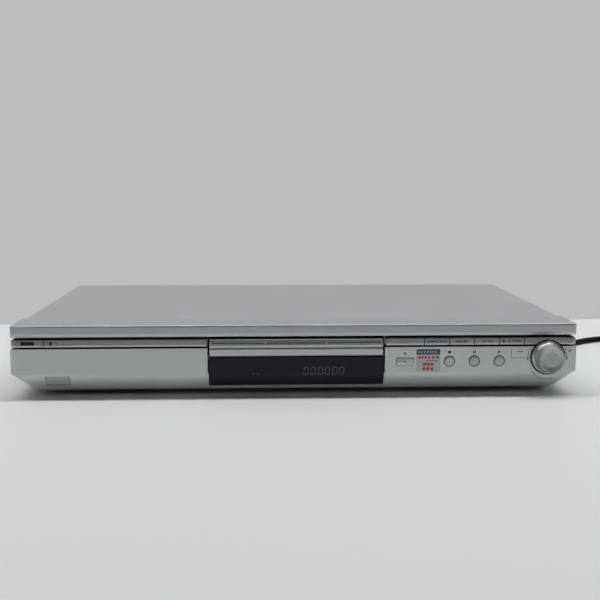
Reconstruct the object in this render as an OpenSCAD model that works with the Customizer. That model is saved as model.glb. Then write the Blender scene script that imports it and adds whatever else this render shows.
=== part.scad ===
// Slim disc player with a motor-driven tray, in millimetres.
// X runs to the right seen from the front, Y to the back and Z up. The table is at Z = 0.
// Depths named ..._d are measured back from the front face.

/* [Cabinet] */
// Overall width of the front mouldings
cabinet_w = 430; // [412:1:450]
// Height of the cap over the upper groove
cap_h = 8.9; // [8:0.1:14]
// Depth from the front face to the rear panel
cabinet_d = 253; // [246:1:300]
// Height of the feet under the chassis
foot_h = 5.5; // [4.6:0.1:6.5]
// Radius of a foot
foot_r = 10; // [8:0.5:13]
// Thickness of the sheet steel
sheet = 1; // [0.8:0.1:1.3]
// Wall of the plastic front mouldings
front_wall = 2.5; // [2:0.1:2.8]
// Depth of the cap behind the front face
cap_d = 36; // [32:1:42]
// Step in from the front moulding to the steel cover, on each side
cover_step = 2; // [1:0.5:4]
// Step down from the cap to the steel cover
cover_drop = 0.4; // [0.2:0.1:1]
// Rounding of the cap's corners, seen from above
cap_corner_r = 3; // [2:0.5:4]

/* [Front face] */
// Gap between the table and the front panel's bottom edge
panel_gap = 4.1; // [3:0.1:5]
// Height of the curved bevel at the bottom of the panel
bevel_h = 13.9; // [12:0.1:15]
// How far the bevel runs back
bevel_setback = 10; // [8:0.5:11]
// Lean of the bevel where it leaves the flat face, in degrees
bevel_lean = 12; // [10:1:24]
// Height of the flat face above the bevel
face_h = 19.4; // [19:0.1:21]
// Groove between the panel and the trim strip
lower_groove = 1.4; // [1:0.1:2]
// Height of the trim strip
strip_h = 5.3; // [4.8:0.1:6]
// Depth of the trim strip
strip_t = 6; // [5:0.5:6.5]
// How far the strip's face leans back at its top
strip_lean = 0.5; // [0.2:0.1:0.8]
// Groove between the trim strip and the cap
upper_groove = 2; // [1.4:0.1:2.4]
// Height of the chamfer under the cap's front edge
visor_chamfer_h = 2.5; // [1.5:0.1:3]
// Depth of that chamfer
visor_chamfer = 1; // [0.6:0.1:2]
// Width of the cut across each lower corner of the panel
corner_cut = 18; // [14:0.5:20]

/* [Tray bay and window] */
// Gap between the tray and each side of its opening
bay_gap = 2.4; // [1.9:0.1:3]
// Gap at each end of the tray door
door_gap = 1.6; // [0.8:0.1:2]
// Thickness of the tray door
door_t = 5.2; // [4.6:0.1:6]
// How far the door reaches below the panel's top edge
door_drop = 6.3; // [5.5:0.1:6.6]
// Height of the window's lower edge above the table
window_bottom = 7.6; // [7.2:0.1:9]
// Thickness of the window
window_t = 2; // [1.5:0.1:2.4]

/* [Tray and mechanism] */
// Radius of the pocket for a full-size disc
pocket_r = 60.5; // [60.2:0.1:61]
// Width of the tray beside the pocket
tray_side = 4.5; // [4:0.1:5.5]
// Radius of the inner pocket for a small disc
small_pocket_r = 40.5; // [40.2:0.1:42]
// How far the tray slides out
tray_travel = 135; // [122:1:138]
// Thickness of the pocket's floor and of the tray's walls
tray_wall = 2; // [1.6:0.1:2.2]
// Width of the slot for the turntable and pickup
slot_w = 35; // [33:0.5:37]
// Height of the rack under the tray
rack_h = 3.1; // [2.8:0.1:3.4]
// Size of the gear teeth, as pitch diameter over tooth count
tooth_module = 1; // [0.95:0.05:1]
// Teeth of the pinion under the rack
pinion_teeth = 16; // [15:1:17]
// Teeth of the large gear below that pinion
wheel_teeth = 34; // [32:1:34]
// Teeth of the pinion on the belt pulley
driver_teeth = 12; // [12:1:13]
// Radius of the large belt pulley
pulley_r = 12; // [11:0.5:12.5]
// Radius of the motor's pulley
motor_pulley_r = 4.4; // [4:0.1:5]
// Radius of the turntable
turntable_r = 13; // [12:0.5:14]
// Radius of the spindle motor
spindle_motor_r = 14; // [12:0.5:14.5]
// Travel of the pickup from its inner to its outer end
pickup_travel = 34; // [30:1:36]
// How far the mechanism's front end swings down, in degrees
swing = 4.5; // [3:0.5:5]
// Radius of the pickup's guide rods
rod_r = 1.5; // [1.2:0.1:1.8]

/* [Controls] */
// Travel of each button
button_travel = 0.8; // [0.5:0.1:0.85]
// Radius of the round buttons
round_button_r = 4; // [3.5:0.1:4.4]
// Spacing of the round buttons and of the strip buttons
button_pitch = 19.2; // [18:0.1:20]
// Width of the tray's button
tray_button_w = 12.4; // [11:0.2:15]
// Height of the tray's button
tray_button_h = 5.3; // [4.8:0.1:6.5]
// Length of the power button
power_button_w = 18.8; // [16:0.2:20]
// How far the buttons stand out of the panel
button_out = 1; // [0.3:0.1:1.2]
// Distance of the knob's axis from the right-hand side
knob_inset = 22.2; // [21:0.1:24]
// Radius of the knob's base
knob_r = 12.8; // [11.5:0.1:13]
// Radius of the knob's face
knob_face_r = 9.9; // [8.5:0.1:10.5]
// How far the knob stands out of the front face
knob_out = 11.5; // [8:0.5:14]
// Gap between the knob and its recess
knob_gap = 0.9; // [0.4:0.1:1]
// Width of the collar round the recess
collar_w = 3.1; // [2:0.1:3.4]

/* [Sockets and mains lead] */
// How far the round sockets stand out of the rear panel
jack_out = 8; // [7:0.5:9]
// Outer radius of a round socket
jack_r = 4.15; // [4.1:0.05:4.2]
// Spacing of the round sockets
jack_pitch = 14; // [13:0.5:16]
// Diameter of the mains lead
lead_dia = 5.4; // [4.8:0.1:5.8]
// Mean radius of the lead's coil
coil_r = 30; // [27:0.5:33]
// Turns beside each other in the coil
coil_columns = 3; // [3:1:4]

/* [Hidden] */
$fn = 64;

// Clearances
seat_gap = 0.3;
run_gap = 0.05;
touch_gap = 0.2;

// Main planes
front_y = (knob_out - jack_out - cabinet_d) / 2;
half_w = cabinet_w / 2;
panel_half = half_w - 0.4;
cover_half = half_w - cover_step;
rear_y = front_y + cabinet_d;
floor_z = foot_h + sheet;
tongue_d = bevel_setback + 6;

// Levels of the front face
crease_z = panel_gap + bevel_h;
panel_top = crease_z + face_h;
strip_z0 = panel_top + lower_groove;
strip_z1 = strip_z0 + strip_h;
strip_mid = (strip_z0 + strip_z1) / 2;
visor_z = strip_z1 + upper_groove;
cabinet_h = visor_z + cap_h;
cover_z = cabinet_h - cover_drop;
carrier_t = 2;
carrier_d = strip_t + carrier_t;

// Bevel: an arc through the crease and the bottom edge
bevel_chord = sqrt(bevel_h * bevel_h + bevel_setback * bevel_setback);
bevel_r = bevel_chord / (2 * sin(atan2(bevel_setback, bevel_h) - bevel_lean));
bevel_centre = [bevel_r * cos(bevel_lean), crease_z + bevel_r * sin(bevel_lean)];
function bevel_d(z) = bevel_centre[0] - sqrt(bevel_r * bevel_r - pow(bevel_centre[1] - z, 2));

// Bay, door and window
tray_half = pocket_r + tray_side;
bay_half = tray_half + bay_gap;
bay_wall = 2;
bay_tunnel_d = 14;
door_half = bay_half - door_gap;
door_z0 = panel_top - door_drop;
door_z1 = strip_z1 - seat_gap;
bay_floor_z = door_z0 - 0.5;
window_half = bay_half - 0.9;
window_top = door_z0 - 1;
window_flange = 2;

// Tray
lip_w = 1.6;
lip_h = 1.8;
tray_z0 = door_z0 + 0.4;
plate_z = tray_z0 + rack_h;
pocket_z = plate_z + tray_wall;
tray_top = door_z1 - 1.3;
lip_z = plate_z + lip_h;
slot_r = slot_w / 2;

// Gear train
addendum = 0.8 * tooth_module;
dedendum = 1.1 * tooth_module;
backlash = 0.1;
loader_front_d = tongue_d + 0.2;
wheel_r = wheel_teeth * tooth_module / 2;
pinion_r = pinion_teeth * tooth_module / 2;
driver_r = driver_teeth * tooth_module / 2;
pinion_d = loader_front_d + wheel_r + addendum + 2;
rack_x = 10 - tray_half;
pinion_x = rack_x + pinion_r;
driver_x = pinion_x + wheel_r + driver_r;
motor_x = driver_x + pulley_r + 20;
slider_d0 = pinion_d + pulley_r + 2;
traverse_front_d = slider_d0 + 4.5;
spindle_d = traverse_front_d + 21.5;
rack_d0 = pinion_d - 9;
rack_d1 = pinion_d + tray_travel + 9;
tray_rear_d = rack_d1 + 2;
belt_t = 1.2;
belt_depth = 0.9;

// Loader
loader_base_t = 2;
loader_z = tray_z0 - 19.5;
loader_base_top = loader_z + loader_base_t;
rail_inner = tray_half + 0.4;
loader_half = rail_inner + 4.6;
loader_rear_d = tray_rear_d + 6;
wall_top = tray_top + 1.5;
gear_z = loader_base_top + 2;
gear_t = 3.5;
pulley_z = gear_z + gear_t + 1.5;
pulley_t = 4;
belt_z = pulley_z + (pulley_t - belt_t) / 2;

// Mechanism carrier
traverse_half = 42;
window_half_x = 38;
traverse_top = tray_z0;
traverse_plate = 2.5;
traverse_z = traverse_top - 8;
pickup_d0 = spindle_d + spindle_motor_r + 2;
pickup_len = 26;
lens_d = pickup_d0 + 8;
path_d0 = spindle_d + spindle_motor_r + 1;
path_d1 = pickup_d0 + pickup_len + pickup_travel + 2;
hinge_d = path_d1 + 6;
hinge_z = traverse_z + 2.5;
hinge_r = 2;
traverse_rear_d = hinge_d + 6;
path_half = 34;
guide_x = 22;
rod_z = traverse_z + 3.5;
screw_x = 30;
screw_z = traverse_z + 2;
screw_r = 1.5;
screw_end_r = 0.95;
sled_motor_r = 4.6;

// Cam slider and the pin that it lifts
slider_t = 2.5;
pin_r = 1.5;
pin_reach = hinge_d - slider_d0 - slider_t / 2;
pin_drop = pin_reach * sin(swing);
slider_travel = 24;
slider_left = -slider_travel - 8;
slider_right = 8;
slider_z0 = loader_base_top + seat_gap;
slider_z1 = hinge_z + pin_r + 4;

// Disc drive parts
spindle_r = 1.5;
table_z = pocket_z - 1.4;
disc_z = pocket_z + 1.2;
clamper_r = 13;
bridge_t = 1.5;
bridge_hole_r = 11;
bridge_screw_x = loader_half - 2.3;

// Gear posts and the loading motor
wheel_pin_r = 2.5;
driver_pin_r = 2;
loading_motor_r = 10.5;

// Controls
board_d = 14;
board_t = 1.6;
switch_d = board_d - 3.5;
plunger_d = switch_d - 0.9;
stem_end_d = plunger_d - button_travel - 0.1;
button_gap = 0.35;
knob_x = half_w - knob_inset;
knob_z = crease_z + 10.9;
knob_hole_r = knob_r + knob_gap;
knob_floor_d = 5.5;
row_z = crease_z + 8.3;
strip_right = knob_x - 18.4;
function row_x(i) = strip_right - (3 - i) * button_pitch;
tray_button_x = bay_half + 15.2;
power_x0 = 6.4 - half_w;
power_x1 = power_x0 + power_button_w;
sensor_x0 = 25.9 - half_w;
sensor_x1 = sensor_x0 + 17.6;
sensor_z0 = panel_gap + 5.3;
sensor_z1 = crease_z - 2.1;

// Boards and what stands on them
standoff_h = 3.7;
pcb_t = 1.6;
pcb_z = floor_z + standoff_h;
pcb_top = pcb_z + pcb_t;
board_side = cover_half - sheet - 5;
main_x0 = -board_side;
main_x1 = -loader_half - 8;
main_d0 = cap_d + 14;
main_d1 = cabinet_d - sheet - 1;
power_x2 = loader_half + 10;
power_x3 = board_side;
power_d0 = cap_d + 34;
power_d1 = cabinet_d - sheet - 1;

display_board_d = 12;
cable_x = (power_x0 + power_x1) / 2 + 12;
link_d = loader_rear_d + 14;

// Rear sockets
jack_x = main_x1 - 24;
jack_z = pcb_top + 7;
jack_core_r = 2.9;
inlet_x = half_w - 45;
inlet_z = pcb_top + 6.2;
inlet_w = 16.4;
inlet_h = 8.4;
inlet_depth = 7;
jack_places = [for (i = [-1:1], j = [0, 1]) [jack_x + i * jack_pitch, jack_z + j * jack_pitch]];
video_x = jack_x - jack_pitch - 26;
optical_x = video_x - 20;

// Mains lead: its route from the connector to the coil, measured from the right-hand side,
// the rear panel and the table
lead_r = lead_dia / 2;
lead_path = [
    [-45, 41.75, inlet_z], [-45, 53.75, inlet_z - 0.4], [-43, 65.75, 16], [-38, 76.75, 13],
    [-29, 84.75, 9.6], [-18, 89.75, 6.3], [-6, 90.75, 3.9], [6, 87.75, 2.9],
    [16, 80.75, lead_r], [23, 70.75, lead_r], [27, 58.75, lead_r], [29, 46.75, lead_r],
    [30, 33.75, lead_r], [30, 20.75, lead_r], [30, 7.75, lead_r], [30, -5.25, lead_r],
    [30, -19.25, lead_r], [30, -32.25, lead_r], [33, -44.25, lead_r], [42, -53.25, lead_r],
    [54, -57.25, lead_r], [66, -54.25, lead_r], [77, -46.25, lead_r], [88, -39.25, lead_r],
    [100, -34.25, lead_r], [115, -30.25, lead_r], [130, -26.25, lead_r]
];
lead_route = [for (p = lead_path) [half_w + p[0], rear_y + p[1], p[2]]];
coil_x = half_w + 141;
coil_y = rear_y - 63.25;
coil_inner_r = coil_r - coil_columns * lead_dia / 2 - 3;
coil_outer_r = coil_r + coil_columns * lead_dia / 2 + 3;

// ---------- shared shapes ----------

// Box between two X positions, two depths and two heights
module block(x0, x1, d0, d1, z0, z1) {
    translate([x0, front_y + d0, z0]) cube([x1 - x0, d1 - d0, z1 - z0]);
}

// Extrudes a (depth, height) section along X
module along_x(x0, x1) {
    translate([x0, front_y, 0]) rotate([90, 0, 90]) linear_extrude(x1 - x0) children();
}

// Extrudes an (X, height) outline from one depth to another
module along_y(d0, d1) {
    translate([0, front_y + d1, 0]) rotate([90, 0, 0]) linear_extrude(d1 - d0) children();
}

// Upright cylinder at an X position and a depth
module post(x, d, r, z0, z1) {
    translate([x, front_y + d, z0]) cylinder(r = r, h = z1 - z0);
}

// Cylinder that runs back from one depth to another
module rod_y(x, z, r, d0, d1) {
    translate([x, front_y + d0, z]) rotate([-90, 0, 0]) cylinder(r = r, h = d1 - d0);
}

// Cylinder along X
module rod_x(x0, x1, d, z, r) {
    translate([x0, front_y + d, z]) rotate([0, 90, 0]) cylinder(r = r, h = x1 - x0);
}

// Revolved (radius, depth) outline about an axis that runs back from the front face
module turned_y(x, z) {
    translate([x, front_y, z]) rotate([-90, 0, 0]) rotate_extrude() children();
}

// Revolved (radius, height) outline about an upright axis
module turned_z(x, d) {
    translate([x, front_y + d, 0]) rotate_extrude() children();
}

// Rectangle with round corners between two X positions and two depths or heights
module round_rect(x0, x1, y0, y1, r) {
    translate([x0 + r, y0]) square([x1 - x0 - 2 * r, y1 - y0]);
    translate([x0, y0 + r]) square([x1 - x0, y1 - y0 - 2 * r]);
    for (x = [x0 + r, x1 - r], y = [y0 + r, y1 - r]) translate([x, y]) circle(r = r);
}

// Involute function and half the angle of a tooth at a radius
function inv(a) = tan(a) * 180 / PI - a;
function tooth_half(teeth, radius) =
    let (pitch_r = teeth * tooth_module / 2)
    90 / teeth + inv(20) - inv(acos(min(1, pitch_r * cos(20) / radius)))
    - backlash / pitch_r * 180 / PI;

// Outline of a spur gear with a tooth on the X axis
module gear_outline(teeth) {
    pitch_r = teeth * tooth_module / 2;
    root_r = pitch_r - dedendum;
    flank = [pitch_r * cos(20), pitch_r, pitch_r + addendum];
    half = concat([[root_r, tooth_half(teeth, flank[0])]],
                  [for (radius = flank) [radius, tooth_half(teeth, radius)]]);
    polygon([
        for (i = [0:teeth - 1], side = [-1, 1], k = [0:3])
            let (p = half[side < 0 ? k : 3 - k], angle = 360 / teeth * i + side * p[1])
            p[0] * [cos(angle), sin(angle)]
    ]);
}

// Pan-head screw along +Z with its seat at Z = 0
module screw(length) {
    rotate_extrude() polygon([
        [0, -1.7], [1.6, -1.6], [2.7, -1.1], [3.1, -0.3], [3.1, 0],
        [1.4, 0], [1.4, length - 0.8], [0.6, length], [0, length]
    ]);
}

// Tube swept along a list of points
module tube(points, radius, sides) {
    last = len(points) - 1;
    function heading(i) =
        let (step = points[min(i + 1, last)] - points[max(i - 1, 0)])
        step / norm(step);
    function across(t) = let (c = cross([0, 0, 1], t)) c / norm(c);
    function ring(i) =
        let (t = heading(i), u = across(t), v = cross(t, u))
        [for (k = [0:sides - 1])
            let (a = 360 * (k + 0.5) / sides)
            points[i] + radius * (cos(a) * u + sin(a) * v)];
    polyhedron(
        points = [for (i = [0:last], p = ring(i)) p],
        faces = concat(
            [[for (k = [0:sides - 1]) k]],
            [for (i = [0:last - 1], k = [0:sides - 1])
                let (n = (k + 1) % sides)
                [i * sides + k, (i + 1) * sides + k, (i + 1) * sides + n, i * sides + n]],
            [[for (k = [sides - 1:-1:0]) last * sides + k]]
        )
    );
}

// ---------- cabinet ----------

foot_places = [for (x = [-1, 1], d = [cap_d + 14, cabinet_d - 30])
    [x * (cover_half - 42), d]];
loader_legs = [for (x = [-1, 1], d = [loader_front_d + 6, loader_rear_d - 6])
    [x * (loader_half - 4), d]];
main_standoffs = [for (x = [main_x0 + 8, main_x1 - 8], d = [main_d0 + 8, main_d1 - 22])
    [x, d]];
power_standoffs = [for (x = [power_x2 + 8, power_x3 - 8], d = [power_d0 + 8, power_d1 - 22])
    [x, d]];
side_screw_z = floor_z + 8;
side_screw_d = [cap_d + 60, cabinet_d - 40];
rear_screw_x = [-cover_half + 20, 0, cover_half - 20];
rear_screw_z = cover_z - sheet - 5;

// Bottom pan: a floor with upturned sides, standoffs for the boards and slots for air
module chassis_base() {
    inner = cover_half - sheet;
    flange_h = 16;
    color("lightslategray")
    difference() {
        union() {
            block(-inner, inner, cap_d, cabinet_d - sheet, foot_h, floor_z);
            block(-half_w + corner_cut + 6, half_w - corner_cut - 6, tongue_d, cap_d + 1,
                  foot_h, floor_z);
            for (x = [-inner, inner - sheet])
                block(x, x + sheet, cap_d, cabinet_d - sheet, foot_h, floor_z + flange_h);
            for (p = concat(main_standoffs, power_standoffs))
                post(p[0], p[1], 3, floor_z, pcb_z);
        }
        for (p = concat(main_standoffs, power_standoffs))
            post(p[0], p[1], 1.2, foot_h - 1, pcb_z + 1);
        for (p = foot_places) post(p[0], p[1], 1.6, foot_h - 1, floor_z + 1);
        for (p = loader_legs) post(p[0], p[1], 1.6, foot_h - 1, floor_z + 1);
        for (x = [-1, 1], d = side_screw_d)
            rod_x(x * inner - 3, x * inner + 3, d, side_screw_z, 1.6);
        // Air slots under the power board
        for (i = [0:9])
            block(power_x2 + 18 + i * 7, power_x2 + 21 + i * 7, power_d0 + 40, power_d0 + 75,
                  foot_h - 1, floor_z + 1);
    }
}

// Steel rear wall with the cut-outs for the sockets
module rear_panel() {
    inner = cover_half - sheet;
    d0 = cabinet_d - sheet;
    fold = 9;
    color("silver")
    difference() {
        union() {
            block(-inner, inner, d0, cabinet_d, foot_h, cover_z - sheet);
            block(-inner + 4, inner - 4, d0 - fold, d0, cover_z - 2 * sheet, cover_z - sheet);
        }
        for (p = jack_places) rod_y(p[0], p[1], jack_r + 0.5, d0 - 1, cabinet_d + 1);
        rod_y(video_x, jack_z, 5.4, d0 - 1, cabinet_d + 1);
        block(optical_x - 5.2, optical_x + 5.2, d0 - 1, cabinet_d + 1, jack_z - 5.2, jack_z + 5.2);
        block(inlet_x - 11.2, inlet_x + 11.2, d0 - 1, cabinet_d + 1, inlet_z - 6.2, inlet_z + 6.2);
        for (x = rear_screw_x) rod_y(x, rear_screw_z, 1.6, d0 - 1, cabinet_d + 1);
        // Two rows of air slots
        for (i = [0:13], z = [26, 38])
            block(40 + i * 8, 44 + i * 8, d0 - 1, cabinet_d + 1, z, z + 7);
    }
}

// Steel cover: one sheet folded over the top and down both sides
module top_cover() {
    bend_r = 2;
    color("silver")
    difference() {
        along_y(cap_d, cabinet_d) difference() {
            union() {
                round_rect(-cover_half, cover_half, cover_z - 12, cover_z, bend_r);
                for (x = [-cover_half, cover_half - sheet])
                    translate([x, foot_h]) square([sheet, cover_z - foot_h - 4]);
            }
            union() {
                round_rect(-cover_half + sheet, cover_half - sheet, cover_z - 14,
                           cover_z - sheet, bend_r - sheet);
                translate([sheet - cover_half, foot_h - 1])
                    square([2 * (cover_half - sheet), cover_z - foot_h - 10]);
            }
        }
        for (x = [-1, 1], d = side_screw_d)
            rod_x(x * cover_half - 3, x * cover_half + 3, d, side_screw_z, 1.6);
        // Air slots in both sides
        for (x = [-1, 1], i = [0:9])
            block(x * cover_half - 3, x * cover_half + 3, cap_d + 80 + i * 7,
                  cap_d + 83 + i * 7, floor_z + 12, floor_z + 26);
    }
}

// (depth, height) section of the lower panel, moved in by a wall
module panel_section(inset, d_back, top) {
    difference() {
        translate([inset, panel_gap + inset])
            square([d_back - inset, top - panel_gap - inset]);
        difference() {
            translate([-1, panel_gap - 1]) square([bevel_setback + 5, bevel_h + 1]);
            translate(bevel_centre) circle(r = bevel_r - inset, $fn = 128);
        }
    }
}

// Front outline of the lower panel, with its cut lower corners
module panel_outline(inset, top) {
    w = panel_half - inset;
    z0 = panel_gap + inset;
    polygon([
        [-w, top], [-w, crease_z + 0.3], [-w + 3, crease_z - 1.3], [-w + corner_cut, z0],
        [w - corner_cut, z0], [w - 3, crease_z - 1.3], [w, crease_z + 0.3], [w, top]
    ]);
}

// Lower front moulding: face, bevel, tray bay, knob recess and the wall behind the strip
module front_panel() {
    ledge_z = panel_top - 2;
    color("silver")
    difference() {
        union() {
            difference() {
                intersection() {
                    along_x(-half_w, half_w) panel_section(0, cap_d, panel_top);
                    along_y(-1, cap_d + 1) panel_outline(0, panel_top);
                }
                intersection() {
                    along_x(-half_w, half_w) panel_section(front_wall, cap_d + 1, ledge_z);
                    along_y(-1, cap_d + 1) panel_outline(front_wall, ledge_z);
                }
                block(carrier_d - half_w, half_w - carrier_d, carrier_d, cap_d + 1,
                      ledge_z - 1, panel_top + 1);
                block(corner_cut + 5.5 - half_w, half_w - corner_cut - 5.5, tongue_d, cap_d + 1,
                      panel_gap - 1, panel_gap + front_wall + 1);
            }
            // Wall behind the trim strip, round three sides
            difference() {
                block(strip_t - half_w, half_w - strip_t, strip_t, cap_d, panel_top - 1, visor_z);
                block(carrier_d - half_w, half_w - carrier_d, carrier_d, cap_d + 1,
                      panel_top - 2, visor_z + 1);
            }
            // Sides and floor of the tray bay
            for (x = [-bay_half - bay_wall, bay_half]) {
                block(x, x + bay_wall, front_wall - 0.5, bay_tunnel_d,
                      bay_floor_z - bay_wall, panel_top);
                block(x, x + bay_wall, strip_t, bay_tunnel_d, panel_top - 1, visor_z);
            }
            block(-bay_half - 1, bay_half + 1, front_wall + window_t + 0.5, bay_tunnel_d,
                  bay_floor_z - bay_wall, bay_floor_z);
            // Bosses that carry the boards
            for (x = [-1, 1])
                rod_y(x * (bay_half + 6), crease_z + 1, 2, front_wall - 0.1, display_board_d);
            for (x = [power_x1 + 9, tray_button_x - 4.5, row_x(3) + 1.6])
                rod_y(x, strip_mid, 2.4, carrier_d - 0.1, board_d);
            // Knob recess
            intersection() {
                rod_y(knob_x, knob_z, knob_hole_r + collar_w, 0, knob_floor_d + 1.5);
                block(0, half_w, -1, cap_d, 0, panel_top);
            }
        }
        // Tray opening and window opening
        block(-bay_half, bay_half, -1, strip_t + carrier_t + 1, bay_floor_z, visor_z + 1);
        block(-bay_half, bay_half, -1, front_wall + 0.4, crease_z - 0.4, bay_floor_z + 1);
        block(-window_half - touch_gap, window_half + touch_gap, -1, bevel_setback + 1,
              window_bottom - touch_gap, crease_z);
        // Fine groove in the sill under the window
        block(-window_half, window_half, bevel_d(panel_gap + 1.8) - 1,
              bevel_d(panel_gap + 1.8) + 0.9, panel_gap + 1.5, panel_gap + 1.8);
        // Sensor window
        block(sensor_x0 - touch_gap, sensor_x1 + touch_gap, -1, bevel_setback,
              sensor_z0 - touch_gap, sensor_z1 + touch_gap);
        // Buttons
        for (i = [0:2])
            rod_y(row_x(i), row_z, round_button_r + button_gap, -1, front_wall + 1);
        block(tray_button_x - tray_button_w / 2 - button_gap,
              tray_button_x + tray_button_w / 2 + button_gap, -1, front_wall + 1,
              row_z - tray_button_h / 2 - button_gap, row_z + tray_button_h / 2 + button_gap);
        for (x = concat([(power_x0 + power_x1) / 2], [for (i = [0:3]) row_x(i) - button_pitch / 2]))
            block(x - 2.3, x + 2.3, strip_t - 1, carrier_d + 1, strip_mid - 1.8, strip_mid + 1.8);
        // Knob
        rod_y(knob_x, knob_z, knob_hole_r, -1, knob_floor_d);
        rod_y(knob_x, knob_z, 4.8, 0, carrier_d + 1);
    }
}

// Cap over the front: visor with a chamfered lower edge, top deck and side walls
module top_cap() {
    round = 1.2;
    lip_t = 2;
    color("silver")
    difference() {
        intersection() {
            along_x(-half_w, half_w) polygon([
                [0, visor_z + visor_chamfer_h], [visor_chamfer, visor_z], [cap_d, visor_z],
                [cap_d, cabinet_h], [round, cabinet_h], [0.3 * round, cabinet_h - 0.3 * round],
                [0, cabinet_h - round]
            ]);
            along_y(-1, cap_d + 1) polygon([
                [-half_w, visor_z + visor_chamfer_h], [visor_chamfer - half_w, visor_z],
                [half_w - visor_chamfer, visor_z], [half_w, visor_z + visor_chamfer_h],
                [half_w, cabinet_h - round], [half_w - 0.3 * round, cabinet_h - 0.3 * round],
                [half_w - round, cabinet_h], [round - half_w, cabinet_h],
                [0.3 * round - half_w, cabinet_h - 0.3 * round], [-half_w, cabinet_h - round]
            ]);
            translate([0, front_y, 0]) linear_extrude(cabinet_h + 1)
                round_rect(-half_w, half_w, 0, cap_d + 10, cap_corner_r);
        }
        block(front_wall + 1 - half_w, half_w - front_wall - 1, front_wall, cap_d + 1,
              visor_z + lip_t, cabinet_h - front_wall);
        block(carrier_d - half_w, half_w - carrier_d, carrier_d, cap_d + 1,
              visor_z - 1, visor_z + lip_t + 1);
    }
}

// Solid of the trim strip before it is cut for its buttons
module strip_form() {
    top_cut = 0.8;
    low_cut = 1.2;
    low_d = 0.5;
    w = half_w - 0.2;
    z0 = strip_z0;
    z1 = strip_z1;
    difference() {
        intersection() {
            along_x(-w, w) polygon([
                [0, z0 + low_cut], [low_d, z0], [cap_d, z0], [cap_d, z1],
                [strip_lean + top_cut, z1], [strip_lean, z1 - top_cut]
            ]);
            along_y(-1, cap_d + 1) polygon([
                [-w, z0 + low_cut], [low_cut - w, z0], [w - low_cut, z0], [w, z0 + low_cut],
                [w, z1 - top_cut], [w - top_cut, z1], [top_cut - w, z1], [-w, z1 - top_cut]
            ]);
            translate([0, front_y, 0]) linear_extrude(cabinet_h)
                round_rect(-w, w, 0, cap_d + 10, cap_corner_r);
        }
        block(strip_t - half_w, half_w - strip_t, strip_t, cap_d + 1, z0 - 1, z1 + 1);
    }
}

// Trim strip on both sides of the tray bay, with room for the buttons set in it
module trim_strips() {
    split = 0.35;
    color("gainsboro")
    difference() {
        strip_form();
        block(-bay_half - 0.8, bay_half + 0.8, -1, strip_t + 1, strip_z0 - 1, strip_z1 + 1);
        block(row_x(-1) - split, row_x(3) + split, -1, strip_t + 1, strip_z0 - 1, strip_z1 + 1);
        block(power_x0 - split, power_x1 + split, -1, strip_t + 1, strip_z0 - 1, strip_z1 + 1);
        rod_y(knob_x, knob_z, knob_hole_r, -1, strip_t + 1);
    }
}

// Dark window: fills its opening in the panel and has a flange behind it
module display_window() {
    color("#1f1e24")
    intersection() {
        along_x(-bay_half - window_flange, bay_half + window_flange) difference() {
            panel_section(touch_gap, cap_d, window_top);
            panel_section(front_wall + window_t, cap_d, window_top + 1);
        }
        union() {
            block(-window_half, window_half, 0, bevel_setback + 1, window_bottom, window_top);
            along_x(-bay_half - window_flange, bay_half + window_flange) difference() {
                panel_section(front_wall + touch_gap, bevel_setback + 2,
                              bay_floor_z - bay_wall - touch_gap);
                square([cap_d, window_bottom - 0.4]);
            }
        }
    }
}

// Remote sensor's window in the bevel
module sensor_window() {
    color("gray")
    intersection() {
        along_x(sensor_x0 - 2, sensor_x1 + 2) difference() {
            panel_section(0.15, cap_d, panel_top);
            panel_section(front_wall + 1.5, cap_d, panel_top + 1);
        }
        union() {
            block(sensor_x0, sensor_x1, -1, bevel_setback, sensor_z0, sensor_z1);
            along_x(sensor_x0 - 1.5, sensor_x1 + 1.5) difference() {
                panel_section(front_wall + touch_gap, bevel_setback, sensor_z1 + 1.5);
                square([cap_d, sensor_z0 - 1]);
            }
        }
    }
}

// Four turned feet with a recess for a screw
module feet() {
    color("dimgray")
    for (p = foot_places) turned_z(p[0], p[1]) polygon([
        [1.6, foot_h], [foot_r, foot_h], [foot_r, foot_h - 1.5], [foot_r - 0.8, foot_h - 1.9],
        [foot_r - 1.4, 0.5], [foot_r - 1.9, 0], [4.4, 0], [4.2, foot_h - 2.5], [1.6, foot_h - 2.5]
    ]);
}

// Screws of the cover, the feet, the loader and the clamp bridge
module case_screws() {
    color("gray") {
        for (p = foot_places)
            translate([p[0], front_y + p[1], foot_h - 2.5]) screw(5.5);
        for (x = [-1, 1], d = side_screw_d)
            translate([x * cover_half, front_y + d, side_screw_z])
                rotate([0, -90 * x, 0]) screw(5);
        for (x = rear_screw_x)
            translate([x, front_y + cabinet_d, rear_screw_z]) rotate([90, 0, 0]) screw(5);
        for (x = [-1, 1])
            translate([x * bridge_screw_x, front_y + spindle_d, wall_top + bridge_t])
                rotate([180, 0, 0]) screw(6);
        for (p = loader_legs) translate([p[0], front_y + p[1], foot_h]) screw(6);
    }
}

// ---------- loader ----------

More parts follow.
